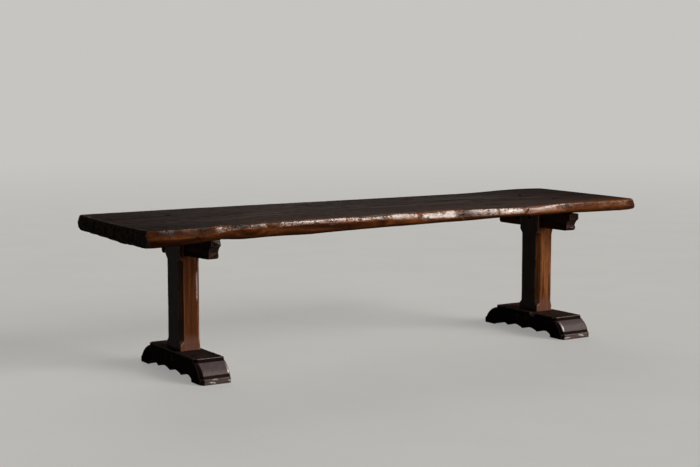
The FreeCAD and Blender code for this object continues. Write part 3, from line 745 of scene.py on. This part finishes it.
def finished(name, mesh, group, inputs, voxel=0.0):
    """Runs a geometry group on a mesh and keeps the outcome as a plain mesh at the origin."""
    piece = linked(name, mesh)
    if voxel:
        remesh = piece.modifiers.new("Even mesh", "REMESH")
        remesh.mode, remesh.voxel_size, remesh.use_smooth_shade = "VOXEL", voxel, True
    nodes = piece.modifiers.new(group, "NODES")
    nodes.node_group = bpy.data.node_groups[group]
    for socket in nodes.node_group.interface.items_tree:
        if socket.in_out == "INPUT" and socket.name in inputs:
            nodes[socket.identifier] = inputs[socket.name]
    made = bpy.data.meshes.new_from_object(piece.evaluated_get(bpy.context.evaluated_depsgraph_get()))
    piece.modifiers.clear()
    piece.data = made
    made.name = name
    bpy.data.meshes.remove(mesh)
    if not made.polygons:
        raise RuntimeError(name + " came out empty")
    return piece


def place_piece(piece, slot, *nodes):
    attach(piece, "root")
    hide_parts(*nodes)


def eased(value, low, high):
    """A smooth step from nought at low to one at high."""
    part = np.clip((value - low) / (high - low), 0, 1)
    return part * part * (3 - 2 * part)


# The trestles

def node_copy(node):
    """A merged copy of a frame node's mesh."""
    shape = bmesh.new()
    shape.from_mesh(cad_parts[node].data)
    bmesh.ops.remove_doubles(shape, verts=shape.verts, dist=1e-5)
    mesh = bpy.data.meshes.new(node + "_copy")
    shape.to_mesh(mesh)
    shape.free()
    return mesh


def cut_corners(points, node):
    """Wears the upright corners of a foot's two ends away, most on the left."""
    low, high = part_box(node)
    left_cut, right_cut = FOOT_CORNERS[node]
    left, right = points[:, 0] - low.x, high.x - points[:, 0]
    worn = LEFT_CUT_SLOPE * (left_cut - left).clip(0) + RIGHT_CUT_SLOPE * (right_cut - right).clip(0)
    points[:, 1] += worn * (eased(-points[:, 1], *FRONT_CUT_FROM) - eased(points[:, 1], *REAR_CUT_FROM))


def rub_line(points, shine, node):
    """Paints a highlight on one upright line on the front of a piece."""
    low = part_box(node)[0]
    line, half, height, tall = BRIGHT_LINES[node]
    beside = eased(np.abs(points[:, 0] - low.x - line), half, half / 2)
    in_front = points[:, 1] < 0.7 * low.y
    shine += beside * eased(np.abs(points[:, 2] - height), tall, 0.6 * tall) * in_front


def flatten(points, shine, places):
    """Presses long low flats into the points: what stands out past a spot is pressed back, with a painted
    highlight.
    """
    for spot, way, reach, much in places:
        way = np.array(way) / np.linalg.norm(way)
        away = points - np.array(spot)
        near = np.linalg.norm(away * FLAT_SPREAD, axis=1) < reach
        proud = np.where(near, away @ way, 0).clip(0)
        points -= proud[:, None] * way
        np.maximum(shine, much * (proud / FLAT_DEPTH).clip(0, 1), out=shine)


def timber(node, material, settings, slot, stretch):
    """A hewn timber in place of one frame node."""
    low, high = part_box(node)
    piece = finished(node + "_timber", node_copy(node), "Hewn Surface", {
        "Wear": 0.85, "Passes": 5, "Sharpness": 1200.0, "Waves": settings.waves, "Wave Size": 0.075,
        "Marks": settings.marks, "Mark Size": 0.035, "Chips": settings.chips, "Stretch": stretch,
        "Seed": PIECE_SEEDS[node], "Low": low[:], "High": high[:], "Material": material}, settings.voxel)
    points = np.empty(3 * len(piece.data.vertices))
    piece.data.vertices.foreach_get("co", points)
    points = points.reshape(-1, 3)
    shine = np.zeros(len(points))
    if node in FOOT_CORNERS:
        cut_corners(points, node)
    if node in BRIGHT_LINES:
        rub_line(points, shine, node)
    flatten(points, shine, FLATS.get(node, ()))
    piece.data.vertices.foreach_set("co", points.ravel())
    piece.data.attributes.new("shine", "FLOAT", "POINT").data.foreach_set("value", shine.clip(0, 1))
    piece.data.update()
    place_piece(piece, slot, node)


def timber_pair(settings, kind, stretch, axis, pith, own, **finish):
    """The left and the right timber of a kind, each with what is its own of the finish."""
    for side in SIDES:
        node = "%s_%s" % (side, kind)
        name = "%s %s Wood" % (side.title(), kind.title())
        material = trestle_wood(name, settings, axis, PIECE_SEEDS[node], pith, **finish, **own.get(side, {}))
        timber(node, material, settings, kind + "_wood", stretch)


# The plank

def fading(count, reach):
    """What a blur over reach steps leaves of each frequency of count steps."""
    return np.exp(-2 * (np.pi * np.fft.fftfreq(count) * reach) ** 2)


def soft_noise(rng, shape, reach):
    """A wrapped random field of zero mean and unit spread, smooth over reach cells on each axis."""
    field = np.fft.fft2(rng.standard_normal(shape))
    field = np.fft.ifft2(field * np.outer(fading(shape[0], reach[0]), fading(shape[1], reach[1]))).real
    return (field - field.mean()) / field.std()


def soft_line(rng, count, reach):
    return soft_noise(rng, (count, 1), (reach, 1))[:, 0]


def blurred(values, reach):
    """Values round a closed loop, blurred over reach steps of their first axis."""
    fade = fading(len(values), reach).reshape((-1,) + (1,) * (values.ndim - 1))
    return np.fft.ifft(np.fft.fft(values, axis=0) * fade, axis=0).real


def plank_loop(tree, height, along, across):
    """The plank's outline at one height, found by looking in at the frame's plank from outside."""
    low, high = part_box("top_slab")

    def look(axis, way, count):
        other = 1 - axis
        hits = []
        for value in np.linspace(low[other] + 2e-4, high[other] - 2e-4, count):
            start, ray = [0, 0, height], [0, 0, 0]
            start[other], ray[axis] = value, way
            start[axis] = (low if way > 0 else high)[axis] - 0.1 * way
            hit = tree.ray_cast(Vector(start), Vector(ray))[0]
            if hit is not None:
                hits.append((hit.x, hit.y))
        return np.array(hits)

    def run(points, axis, first, last, shares):
        order = np.argsort(points[:, axis])
        value = first[axis] + (last[axis] - first[axis]) * shares
        other = np.interp(value, points[order, axis], points[order, 1 - axis])
        line = np.stack((value, other) if axis == 0 else (other, value), 1)
        line[0], line[-1] = first, last
        return line[:-1]

    front, back = look(1, 1, LOOKS_ALONG), look(1, -1, LOOKS_ALONG)
    left, right = look(0, 1, LOOKS_ACROSS), look(0, -1, LOOKS_ACROSS)
    cloud = np.vstack((front, back, left, right))
    corner = [cloud[np.argmax(cloud @ np.array(way))] for way in ((-1, -1), (1, -1), (1, 1), (-1, 1))]
    sides = ((front, 0, along), (right, 1, across), (back, 0, along), (left, 1, across))
    return np.vstack([run(points, axis, corner[number], corner[(number + 1) % 4], shares)
                      for number, (points, axis, shares) in enumerate(sides)])


def dishes(rng, cuts, deepest, way, height, spots, reach):
    """Depth of shallow overlapping cuts; where two meet the deeper stays, so they leave crisp ridges."""
    number, halves, talls, depth_shares = cuts
    sunk = np.zeros(height.shape)
    for _ in range(number):
        away = way - rng.uniform(*spots)
        rise = height - rng.uniform(*reach) - away * rng.uniform(-0.12, 0.12)
        half, tall = rng.uniform(*halves), rng.uniform(*talls)
        depth = rng.uniform(*(deepest * part for part in depth_shares))
        np.maximum(sunk, depth * (1 - (away / half) ** 2 - (rise / tall) ** 2), out=sunk)
    return sunk


def swollen(settings, flat):
    """How far the underside hangs lower at plan points, most at the front left corner."""
    reach = np.exp(-((flat[..., 0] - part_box("top_slab")[0].x) / 0.16) ** 2)
    return settings.swell * reach * eased(-flat[..., 1], -0.05, 0.2)


def plank_wall(settings, rng, along, across):
    """Rows of points down the plank's sides, and how each one is finished.

    The finish says how bare a point is, how far into the end grain, how polished, and whether on the front.
    """
    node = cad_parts["top_slab"].data
    tree = BVHTree.FromPolygons([point.co for point in node.vertices],
                                [face.vertices for face in node.polygons])
    low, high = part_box("top_slab")
    levels = np.linspace(low.z + SKIN, high.z - SKIN, OUTLINE_LEVELS)
    loops = np.array([plank_loop(tree, z, along, across) for z in levels])
    count, last, rear = loops.shape[1], len(along) - 1, len(across) - 1
    index = np.arange(count)
    corners = (0, last, last + rear, 2 * last + rear)
    front_left, front_right, back_right, back_left = corners
    middle = loops[len(levels) // 2]
    lengths = np.linalg.norm(np.roll(middle, -1, 0) - middle, axis=1)
    way = np.cumsum(lengths) - lengths

    def past(corner):
        """How far each point of the loop is past a corner, less than nought before it."""
        half = lengths.sum() / 2
        return (way - way[corner] + half) % (2 * half) - half

    soft = blurred(loops.transpose(1, 0, 2), 8).transpose(1, 0, 2)
    for corner, much in zip(corners, CORNER_SHARES):
        loops += (much * np.exp(-(past(corner) / CORNER_REACH) ** 2))[None, :, None] * (soft - loops)
    tangent = blurred(np.roll(middle, -1, 0) - np.roll(middle, 1, 0), 3)
    tangent /= np.linalg.norm(tangent, axis=1, keepdims=True)
    inward = np.stack((-tangent[:, 1], tangent[:, 0]), 1)
    is_front, is_left = index < front_right, index >= back_left
    is_end = is_left | ((index >= front_right) & (index < back_right))

    def wall(z):
        spot = np.clip((z - levels[0]) / (levels[1] - levels[0]), 0, len(levels) - 1.001)
        floor = spot.astype(int)
        part = (spot - floor)[:, None]
        return loops[floor, index] * (1 - part) + loops[floor + 1, index] * part

    # Lobes of the left end, nought in the middle of each and one in the clefts
    back_share = np.where(is_left, past(front_left) / past(front_left)[back_left], 0.0)
    ends = np.array(END_LOBE_SHARES)
    lobe = np.clip(np.searchsorted(ends, back_share) - 1, 0, len(ends) - 2)
    cleft = np.abs(2 * (back_share - ends[lobe]) / (ends[lobe + 1] - ends[lobe]) - 1) * is_left
    deep = blurred(np.array(LOBE_DEPTH_SHARES)[lobe], 6)

    # Heights of the rows, which gather at the ridge where the side stands out furthest
    top_arris = settings.top_arris * np.clip(1 + 0.35 * soft_line(rng, count, 16), 0.45, 1.9)
    tip = np.exp(-np.abs(past(front_right)) / 0.09)
    top_arris *= 1 + (0.9 + 0.8 * cleft ** 2) * is_left + 3.2 * tip
    under_arris = settings.under_arris * np.clip(1 + 0.5 * soft_line(rng, count, 14), 0.4, 2.2)
    under_arris *= 1 + 1.2 * cleft ** 2 * is_left + 3.0 * tip
    top_arris, under_arris = blurred(top_arris, 4), blurred(under_arris, 4)
    out = -np.einsum("lcx,cx->lc", loops, inward)
    ridge = np.where(is_end, levels[len(levels) // 2], levels[np.argmax(out, 0)])
    ridge = np.clip(blurred(ridge, 7), low.z + under_arris + 0.012, high.z - top_arris - 0.008)
    rows = []
    for turn in np.radians((0, 15, 32, 50, 70, 90)):
        rows.append((high.z - top_arris * (1 - np.cos(turn)), top_arris * (1 - np.sin(turn))))
    for first, last, steps in ((high.z - top_arris, ridge, 6), (ridge, low.z + under_arris, 8)):
        for part in np.linspace(0, 1, steps + 1)[1:]:
            rows.append((first * (1 - part) + last * part, np.zeros(count)))
    for turn in np.radians((60, 30, 0)):
        rows.append((low.z + under_arris * (1 - np.cos(turn)), under_arris * (1 - np.sin(turn))))
    z, inset = (np.array(part) for part in zip(*rows))

    def by_row(numbers, values):
        """A value for each row, as a column, between those given for some of them."""
        return np.interp(np.arange(len(rows)), numbers, values)[:, None]

    # Cuts of the drawknife on the long edges and of the axe on the ends
    whole, heights = (0, lengths.sum()), (low.z + 0.005, high.z)
    long_cuts = dishes(rng, LONG_CUTS, settings.cut_depth, way[None], z, whole, heights)
    end_cuts = dishes(rng, END_CUTS, settings.cut_depth, way[None], z, whole, heights)
    drop = (high.z - z) / (high.z - low.z)
    end_cuts += settings.lobe_depth * (deep * cleft ** 2.5)[None] * (0.5 + 0.5 * drop)
    sunk = np.where(is_end[None], end_cuts, long_cuts)
    fuzz = np.clip(soft_noise(rng, z.T.shape, (1.5, 1.0)).T, 0, 2)
    sunk += 0.0006 * fuzz * np.where(is_end, 1.0, 0.4)[None]
    for spot, depth, run, lean in EDGE_BREAKS:
        away = middle[None, :, 0] - spot - lean * (high.z - z)
        saw = np.where(away >= 0, 1 - away / run, 1 + away / 0.016).clip(0)
        sunk += depth * saw * eased(z, ridge - 0.012, ridge + 0.004) * is_front[None]
    sunk *= by_row((0, 3, len(rows) - 3, len(rows) - 1), (0.7, 1, 1, 0.6))
    flat = np.array([wall(line) for line in z]) + inward[None] * (inset + sunk)[:, :, None]

    # The end grain wraps round the corners, least at the height of the upper bevel; below the bevel, where it
    # reaches further round, it is painted shade
    bevel = (high.z - top_arris + ridge) / 2
    lap = -0.010 + 0.042 * np.clip(np.abs(z - bevel) / 0.03, 0, 1)
    left = eased(-past(front_left)[None], -lap, 0.02 - lap) * eased(past(back_left)[None], -lap, 0.02 - lap)
    right = eased(past(front_right)[None], -0.07, 0.04) * eased(-past(back_right)[None], -0.03, 0.03)
    end = np.maximum(left, 0.75 * right) * by_row((0, 4), (0.35, 1))

    # The front edge is polished in stretches, and dark above them on the left
    edge = np.repeat(by_row((0, 1, 3), (0.35, 0.6, 1)), count, 1)
    places, shares, reaches = np.array(EDGE_POLISH).T
    reach = np.where(is_front, np.interp(middle[:, 0], places, reaches), 0.6)
    down = (high.z - top_arris - z) / (high.z - top_arris - ridge)
    polish = np.where(is_front, np.interp(middle[:, 0], places, shares), 0.3)[None] * edge
    polish = polish * (1 - 0.7 * eased(down, 0.6 * reach, reach)) * (1 - 0.8 * eased(down, 0.9, 1.15))
    dark_rim = np.where(is_front, np.interp(middle[:, 0], (-0.95, -0.80, 0.0, 0.1), (0, 0.75, 0.75, 0)), 0)
    edge = edge * (1 - dark_rim[None] * by_row((4, 7), (1, 0)))
    rim = np.where(is_front[None], np.ones_like(z), 0.0)
    z = z - swollen(settings, flat) * eased(drop, 0.4, 1.0)
    return np.dstack((flat, z)), {"edge": edge, "end": end, "polish": polish, "rim": rim}


def plank_sheet(loop, along, across):
    """A grid of plan points stretched between the four sides of a loop."""
    last, rear = len(along) - 1, len(across) - 1
    front, right = loop[:last + 1], loop[last:last + rear + 1]
    back = loop[last + rear:2 * last + rear + 1][::-1]
    left = np.vstack((loop[2 * last + rear:], loop[:1]))[::-1]
    to_right, to_back = along[:, None, None], across[None, :, None]
    to_left, to_front = 1 - to_right, 1 - to_back
    return (to_front * front[:, None] + to_back * back[:, None] + to_left * left[None] + to_right * right[None]
            - to_left * to_front * front[0] - to_right * to_front * front[-1]
            - to_left * to_back * back[0] - to_right * to_back * back[-1])


def grid_faces(grid, between):
    """Faces of a grid of points that take in the extra points between neighbours on its rim."""
    faces = []
    quads = np.stack((grid[:-1, :-1], grid[1:, :-1], grid[1:, 1:], grid[:-1, 1:]), -1)
    for quad in quads.reshape(-1, 4).tolist():
        face = []
        for first, second in zip(quad, quad[1:] + quad[:1]):
            face.append(first)
            if (first, second) in between:
                face.append(between[first, second])
        faces.append(face)
    return faces


def open_checks(rng, top, top_z, across, ease):
    """Opens drying checks: three columns of points close up on a wavy line, and the middle one sinks."""
    count = len(top)
    for spot, first, last, depth, half in TOP_CHECKS:
        column = int(np.argmin(np.abs(across - spot)))
        x = top[:, column, 0]
        window = eased(np.minimum(x - first, last - x), 0, 0.18) * ease[:, column]
        y = top[:, column, 1] + 0.004 * soft_line(rng, count, 11)
        for side in (-1, 0, 1):
            top[:, column + side, 1] += (y + side * half - top[:, column + side, 1]) * window
        top_z[:, column] -= depth * window * np.clip(1 + 0.3 * soft_line(rng, count, 5), 0.3, 2)


def plank_mesh(settings):
    """The plank as one closed mesh: a worn top, an underside, and a wall twice as fine between them."""
    rng = np.random.default_rng(PLANK_SEED)
    low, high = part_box("top_slab")
    long, wide = settings.along, settings.across
    along, even = np.linspace(0, 1, long), np.linspace(0, 1, wide)
    across = 0.55 * even + 0.45 * (0.5 - 0.5 * np.cos(np.pi * even))
    halves = [np.interp(np.arange(0, len(part) - 0.5, 0.5), np.arange(len(part)), part)
              for part in (along, across)]
    wall, finish = plank_wall(settings, rng, *halves)
    rows, count = wall.shape[:2]

    # The worn top and the rough underside
    top = plank_sheet(wall[0, ::2, :2], along, across)
    dips = soft_noise(rng, (long, wide), (26, 4)) * 0.5 + soft_noise(rng, (long, wide), (9, 1.6)) * 0.35
    from_end, from_side = np.minimum(along, 1 - along) * long / 3, np.minimum(even, 1 - even) * wide / 3
    ease = np.minimum.outer(from_end, from_side).clip(0, 1)
    top_z = high.z - SKIN - settings.top_relief * 0.5 * np.clip(dips + 1, 0.1, 2.4) * ease
    open_checks(rng, top, top_z, across, ease)
    under = plank_sheet(wall[-1, ::2, :2], along, across)
    under_z = low.z + 0.0025 * np.clip(soft_noise(rng, (long, wide), (10, 2)) * 0.5 + 0.8, 0, 2) * ease
    under_z -= swollen(settings, under)

    # Both sheets share every second point of the wall's first or last row with it
    last, rear = long - 1, wide - 1
    forth, inward = np.arange(last), np.arange(rear)
    rim_along = np.concatenate((forth, np.full(rear, last), last - forth, np.zeros(rear, int)))
    rim_across = np.concatenate((np.zeros(last, int), inward, np.full(last, rear), rear - inward))
    points, faces = [wall.reshape(-1, 3)], []
    start = rows * count
    for flat, z, row in ((top, top_z, 0), (under, under_z, rows - 1)):
        grid = np.empty((long, wide), int)
        shared = row * count + np.arange(0, count, 2)
        grid[rim_along, rim_across] = shared
        inner = grid[1:-1, 1:-1]
        inner[:] = start + np.arange(inner.size).reshape(inner.shape)
        start += inner.size
        points.append(np.dstack((flat, z))[1:-1, 1:-1].reshape(-1, 3))
        steps = list(zip(shared.tolist(), np.roll(shared, -1).tolist()))
        between = {pair: pair[0] + 1 for pair in steps} | {pair[::-1]: pair[0] + 1 for pair in steps}
        made = grid_faces(grid, between)
        faces += made if row == 0 else [face[::-1] for face in made]
    index = np.arange(count)
    following = np.roll(index, -1)
    for row in range(rows - 1):
        upper, lower = row * count, (row + 1) * count
        faces += np.stack((upper + index, lower + index, lower + following, upper + following), 1).tolist()

    # Finish of the top and of the underside
    behind = top[:, :, 1] - top[:, :1, 1]
    worn_rim = 0.4 * np.exp(-behind / 0.035)
    waxed = np.interp(top[:, :, 0], (-1.5, -0.9, -0.3, 0.8, 1.3), (0.02, 0.045, 0.06, 0.06, 0.03))
    browned = np.exp(-behind / np.interp(top[:, :, 0], (0.8, 1.15), (0.16, 0.08)))
    sheets = {"edge": (worn_rim, 0.6), "end": (0.0, 0.0), "polish": (waxed, 0.0), "rim": (browned, 0.0)}
    mesh = bpy.data.meshes.new("plank_grid")
    mesh.from_pydata(np.vstack(points).tolist(), [], faces)
    for title, values in finish.items():
        inside = [np.broadcast_to(part, (long, wide))[1:-1, 1:-1].ravel() for part in sheets[title]]
        values = np.concatenate((values.ravel(), *inside))
        mesh.attributes.new(title, "FLOAT", "POINT").data.foreach_set("value", values.astype(np.float32))
    mesh.validate()
    return mesh


# The stage

def lay_floor(settings):
    shape = bmesh.new()
    bmesh.ops.create_circle(shape, cap_ends=True, segments=96, radius=settings.floor_radius)
    mesh = bpy.data.meshes.new("floor")
    shape.to_mesh(mesh)
    shape.free()
    material, tree, shader, plain, _ = start_material("Pale Floor")
    seen = seen_rays(tree)
    pale = mix(ramp(noise(plain, 1.7, 4), 0.3, 0.7), rgba(settings.floor), rgba(settings.floor, 0.96))
    feed(shader, {"Base Color": mix(seen, rgba(settings.floor, 0.23), pale), "Roughness": 0.9,
                  "Specular IOR Level": 0.0})
    away = ramp(plain.length(), 4.0, 18.0, settings.glow, 1.0)
    glow = put(tree, "ShaderNodeEmission", {"Color": rgba(settings.backdrop)})
    far = put(tree, "ShaderNodeMixShader", {0: away * seen, 1: Wire(tree, shader.outputs[0]), 2: glow})
    feed(tree.nodes["Material Output"], {"Surface": far})
    mesh.materials.append(material)
    linked("floor", mesh)


def light_surround(settings):
    world = bpy.data.worlds.new("Soft Surround")
    world.use_nodes = True
    tree = world.node_tree
    tree.nodes.clear()
    fill = put(tree, "ShaderNodeBackground", {"Color": (1, 1, 1, 1), "Strength": settings.fill})
    pale = put(tree, "ShaderNodeBackground", {"Color": rgba(settings.backdrop), "Strength": 1.0})
    both = put(tree, "ShaderNodeMixShader", {0: seen_rays(tree), 1: fill, 2: pale})
    feed(tree.nodes.new("ShaderNodeOutputWorld"), {"Surface": both})
    bpy.context.scene.world = world


def hang(lamp, place):
    """Hangs a lamp at a place and turns it to the middle of the floor."""
    shining = linked(lamp.name, lamp)
    shining.location = place
    shining.rotation_euler = Vector(place).to_track_quat("Z", "Y").to_euler()
    return shining


def hang_lamps(settings):
    for name, (origin, part) in LAMPS.items():
        lamp = bpy.data.lights.new(name, "SUN")
        lamp.energy, lamp.angle, lamp.color = settings.key * part, settings.softness, LAMP_TINT
        hang(lamp, origin)
    strip = bpy.data.lights.new("strip", "AREA")
    strip.energy, strip.shape, strip.color = settings.strip, "RECTANGLE", STRIP_TINT
    strip.size, strip.size_y = STRIP_SIZE
    shining = hang(strip, STRIP_PLACE)
    shining.visible_diffuse = shining.visible_camera = False


def set_camera(settings):
    view = bpy.data.cameras.new("camera")
    view.lens, view.sensor_width = settings.lens, 36.0
    camera = linked("camera", view)
    camera.location = CAMERA_PLACE
    camera.rotation_euler = (math.radians(90 - CAMERA_DOWN), 0, math.radians(-CAMERA_RIGHT))
    bpy.context.scene.camera = camera


# Operators

class TABLE_OT_plank(bpy.types.Operator):
    """Make the live-edged plank top"""

    bl_idname = "table.plank"
    bl_label = "Plank Top"

    def execute(self, context):
        settings = context.scene.table_plank
        low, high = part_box("top_slab")
        piece = finished("live_edge_plank", plank_mesh(settings), "Hewn Surface", {
            "Wear": 0.6, "Passes": 3, "Sharpness": 1300.0, "Waves": 0.0006, "Wave Size": 0.04,
            "Marks": 0.0004, "Mark Size": 0.02, "Chips": 0.002, "Stretch": (0.35, 1.0, 1.0), "Seed": 7.0,
            "Low": (low.x, low.y, low.z - settings.swell), "High": high[:],
            "Material": plank_wood(settings)})
        place_piece(piece, "top_wood", "top_slab")
        return {"FINISHED"}


class TABLE_OT_posts(bpy.types.Operator):
    """Make the two chamfered posts"""

    bl_idname = "table.posts"
    bl_label = "Posts"

    def execute(self, context):
        # The left post is dimmed all over with painted shade
        timber_pair(context.scene.table_posts, "post", (1.0, 1.0, 0.22), "Z", (0, 0.25, 0.9),
                    {"left": {"dim": 0.45, "soot_from": 0.55}}, wear=0.25, right_wear=1.0, gleam=0.9,
                    rings=0.06, fine=1.8, soot=0.9, scuffs=0.4)
        return {"FINISHED"}


class TABLE_OT_feet(bpy.types.Operator):
    """Make the two moulded sledge feet"""

    bl_idname = "table.feet"
    bl_label = "Feet"

    def execute(self, context):
        timber_pair(context.scene.table_feet, "foot", (1.0, 0.3, 1.0), "Y", (0, 0.9, -0.2),
                    {"left": {"scuffs": 0.15}, "right": {"scuffs": 0.40}}, shiny=0.38, wear=0.30, gleam=0.35,
                    bumps=0.12, ends=0.1, bloom=0.45, dust=0.14, soot=0.9, soot_from=0.35,
                    levels=FOOT_LEVELS)
        return {"FINISHED"}


class TABLE_OT_bolsters(bpy.types.Operator):
    """Make the two shaped bolsters"""

    bl_idname = "table.bolsters"
    bl_label = "Bolsters"

    def execute(self, context):
        timber_pair(context.scene.table_bolsters, "bolster", (1.0, 0.3, 1.0), "Y", (0, 0.9, 0.5), {},
                    wear=0.25, gleam=0.25, ends=0.0)
        return {"FINISHED"}


class TABLE_OT_pegs(bpy.types.Operator):
    """Make the draw pegs, and finish the trenails and their wedges"""

    bl_idname = "table.pegs"
    bl_label = "Pegs"

    def execute(self, context):
        settings = context.scene.table_pegs
        across = trestle_wood("Peg Wood", settings, "X", 11.0, (0, 0.02, 0.01), wear=0.3)
        upright = trestle_wood("Trenail Wood", settings, "Z", 12.0, (0, 0.02, 0.01), shiny=0.6, dull=0.8,
                               wear=0.3)
        nodes = [side + "_head_peg" for side in SIDES]
        nodes += ["%s_%s_foot_peg" % (side, end) for side in SIDES for end in ENDS]
        boxes = [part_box(node) for node in nodes]
        mesh = bpy.data.meshes.new("peg_places")
        mesh.from_pydata([(low + high) / 2 for low, high in boxes], [], [])
        spans, turns = [], []
        for number, (low, high) in enumerate(boxes):
            extent = high - low
            spans += [extent.y, extent.y, extent.x]
            turns += [math.pi / 2, 0.35 * number, math.pi / 2]
        for title, values in (("span", spans), ("turn", turns)):
            mesh.attributes.new(title, "FLOAT_VECTOR", "POINT").data.foreach_set("vector", values)
        piece = finished("draw_pegs", mesh, "Riven Pegs", {
            "Sides": 10, "Facets": settings.facets, "Dome": settings.dome, "Seed": 9.0, "Material": across})
        place_piece(piece, "peg_wood", *nodes)
        for side in SIDES:
            for end in ENDS:
                for kind in ("trenail", "trenail_wedge"):
                    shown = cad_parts["%s_%s_%s" % (side, end, kind)]
                    shown.data.materials.clear()
                    shown.data.materials.append(upright)
        return {"FINISHED"}


class TABLE_OT_stage(bpy.types.Operator):
    """Set the floor, the lamps and the camera"""

    bl_idname = "table.stage"
    bl_label = "Stage"

    def execute(self, context):
        for step in (lay_floor, light_surround, hang_lamps, set_camera):
            step(context.scene.table_stage)
        context.scene.view_settings.view_transform = "Standard"
        return {"FINISHED"}


class VIEW3D_PT_refectory_table(bpy.types.Panel):
    """The table's pieces and their settings"""

    bl_label = "Refectory Table"
    bl_space_type = "VIEW_3D"
    bl_region_type = "UI"
    bl_category = "Table"

    def draw(self, context):
        for operator, name in PIECES:
            settings = getattr(context.scene, name)
            box = self.layout.box()
            box.operator(operator.bl_idname)
            for title in settings.__annotations__:
                box.prop(settings, title)


PIECES = ((TABLE_OT_plank, "table_plank"), (TABLE_OT_posts, "table_posts"), (TABLE_OT_feet, "table_feet"),
          (TABLE_OT_bolsters, "table_bolsters"), (TABLE_OT_pegs, "table_pegs"),
          (TABLE_OT_stage, "table_stage"))
SETTINGS = (PlankSettings, PostSettings, FootSettings, BolsterSettings, PegSettings, StageSettings)


def register():
    for group, (operator, name) in zip(SETTINGS, PIECES):
        bpy.utils.register_class(group)
        bpy.utils.register_class(operator)
        setattr(bpy.types.Scene, name, PointerProperty(type=group))
    bpy.utils.register_class(VIEW3D_PT_refectory_table)


def unregister():
    bpy.utils.unregister_class(VIEW3D_PT_refectory_table)
    for group, (operator, name) in zip(SETTINGS, PIECES):
        delattr(bpy.types.Scene, name)
        bpy.utils.unregister_class(operator)
        bpy.utils.unregister_class(group)


def main():
    register()
    make_groups()
    bpy.ops.table.stage()
    bpy.ops.table.plank()
    bpy.ops.table.posts()
    bpy.ops.table.feet()
    bpy.ops.table.bolsters()
    bpy.ops.table.pegs()


if __name__ == "__main__":
    main()
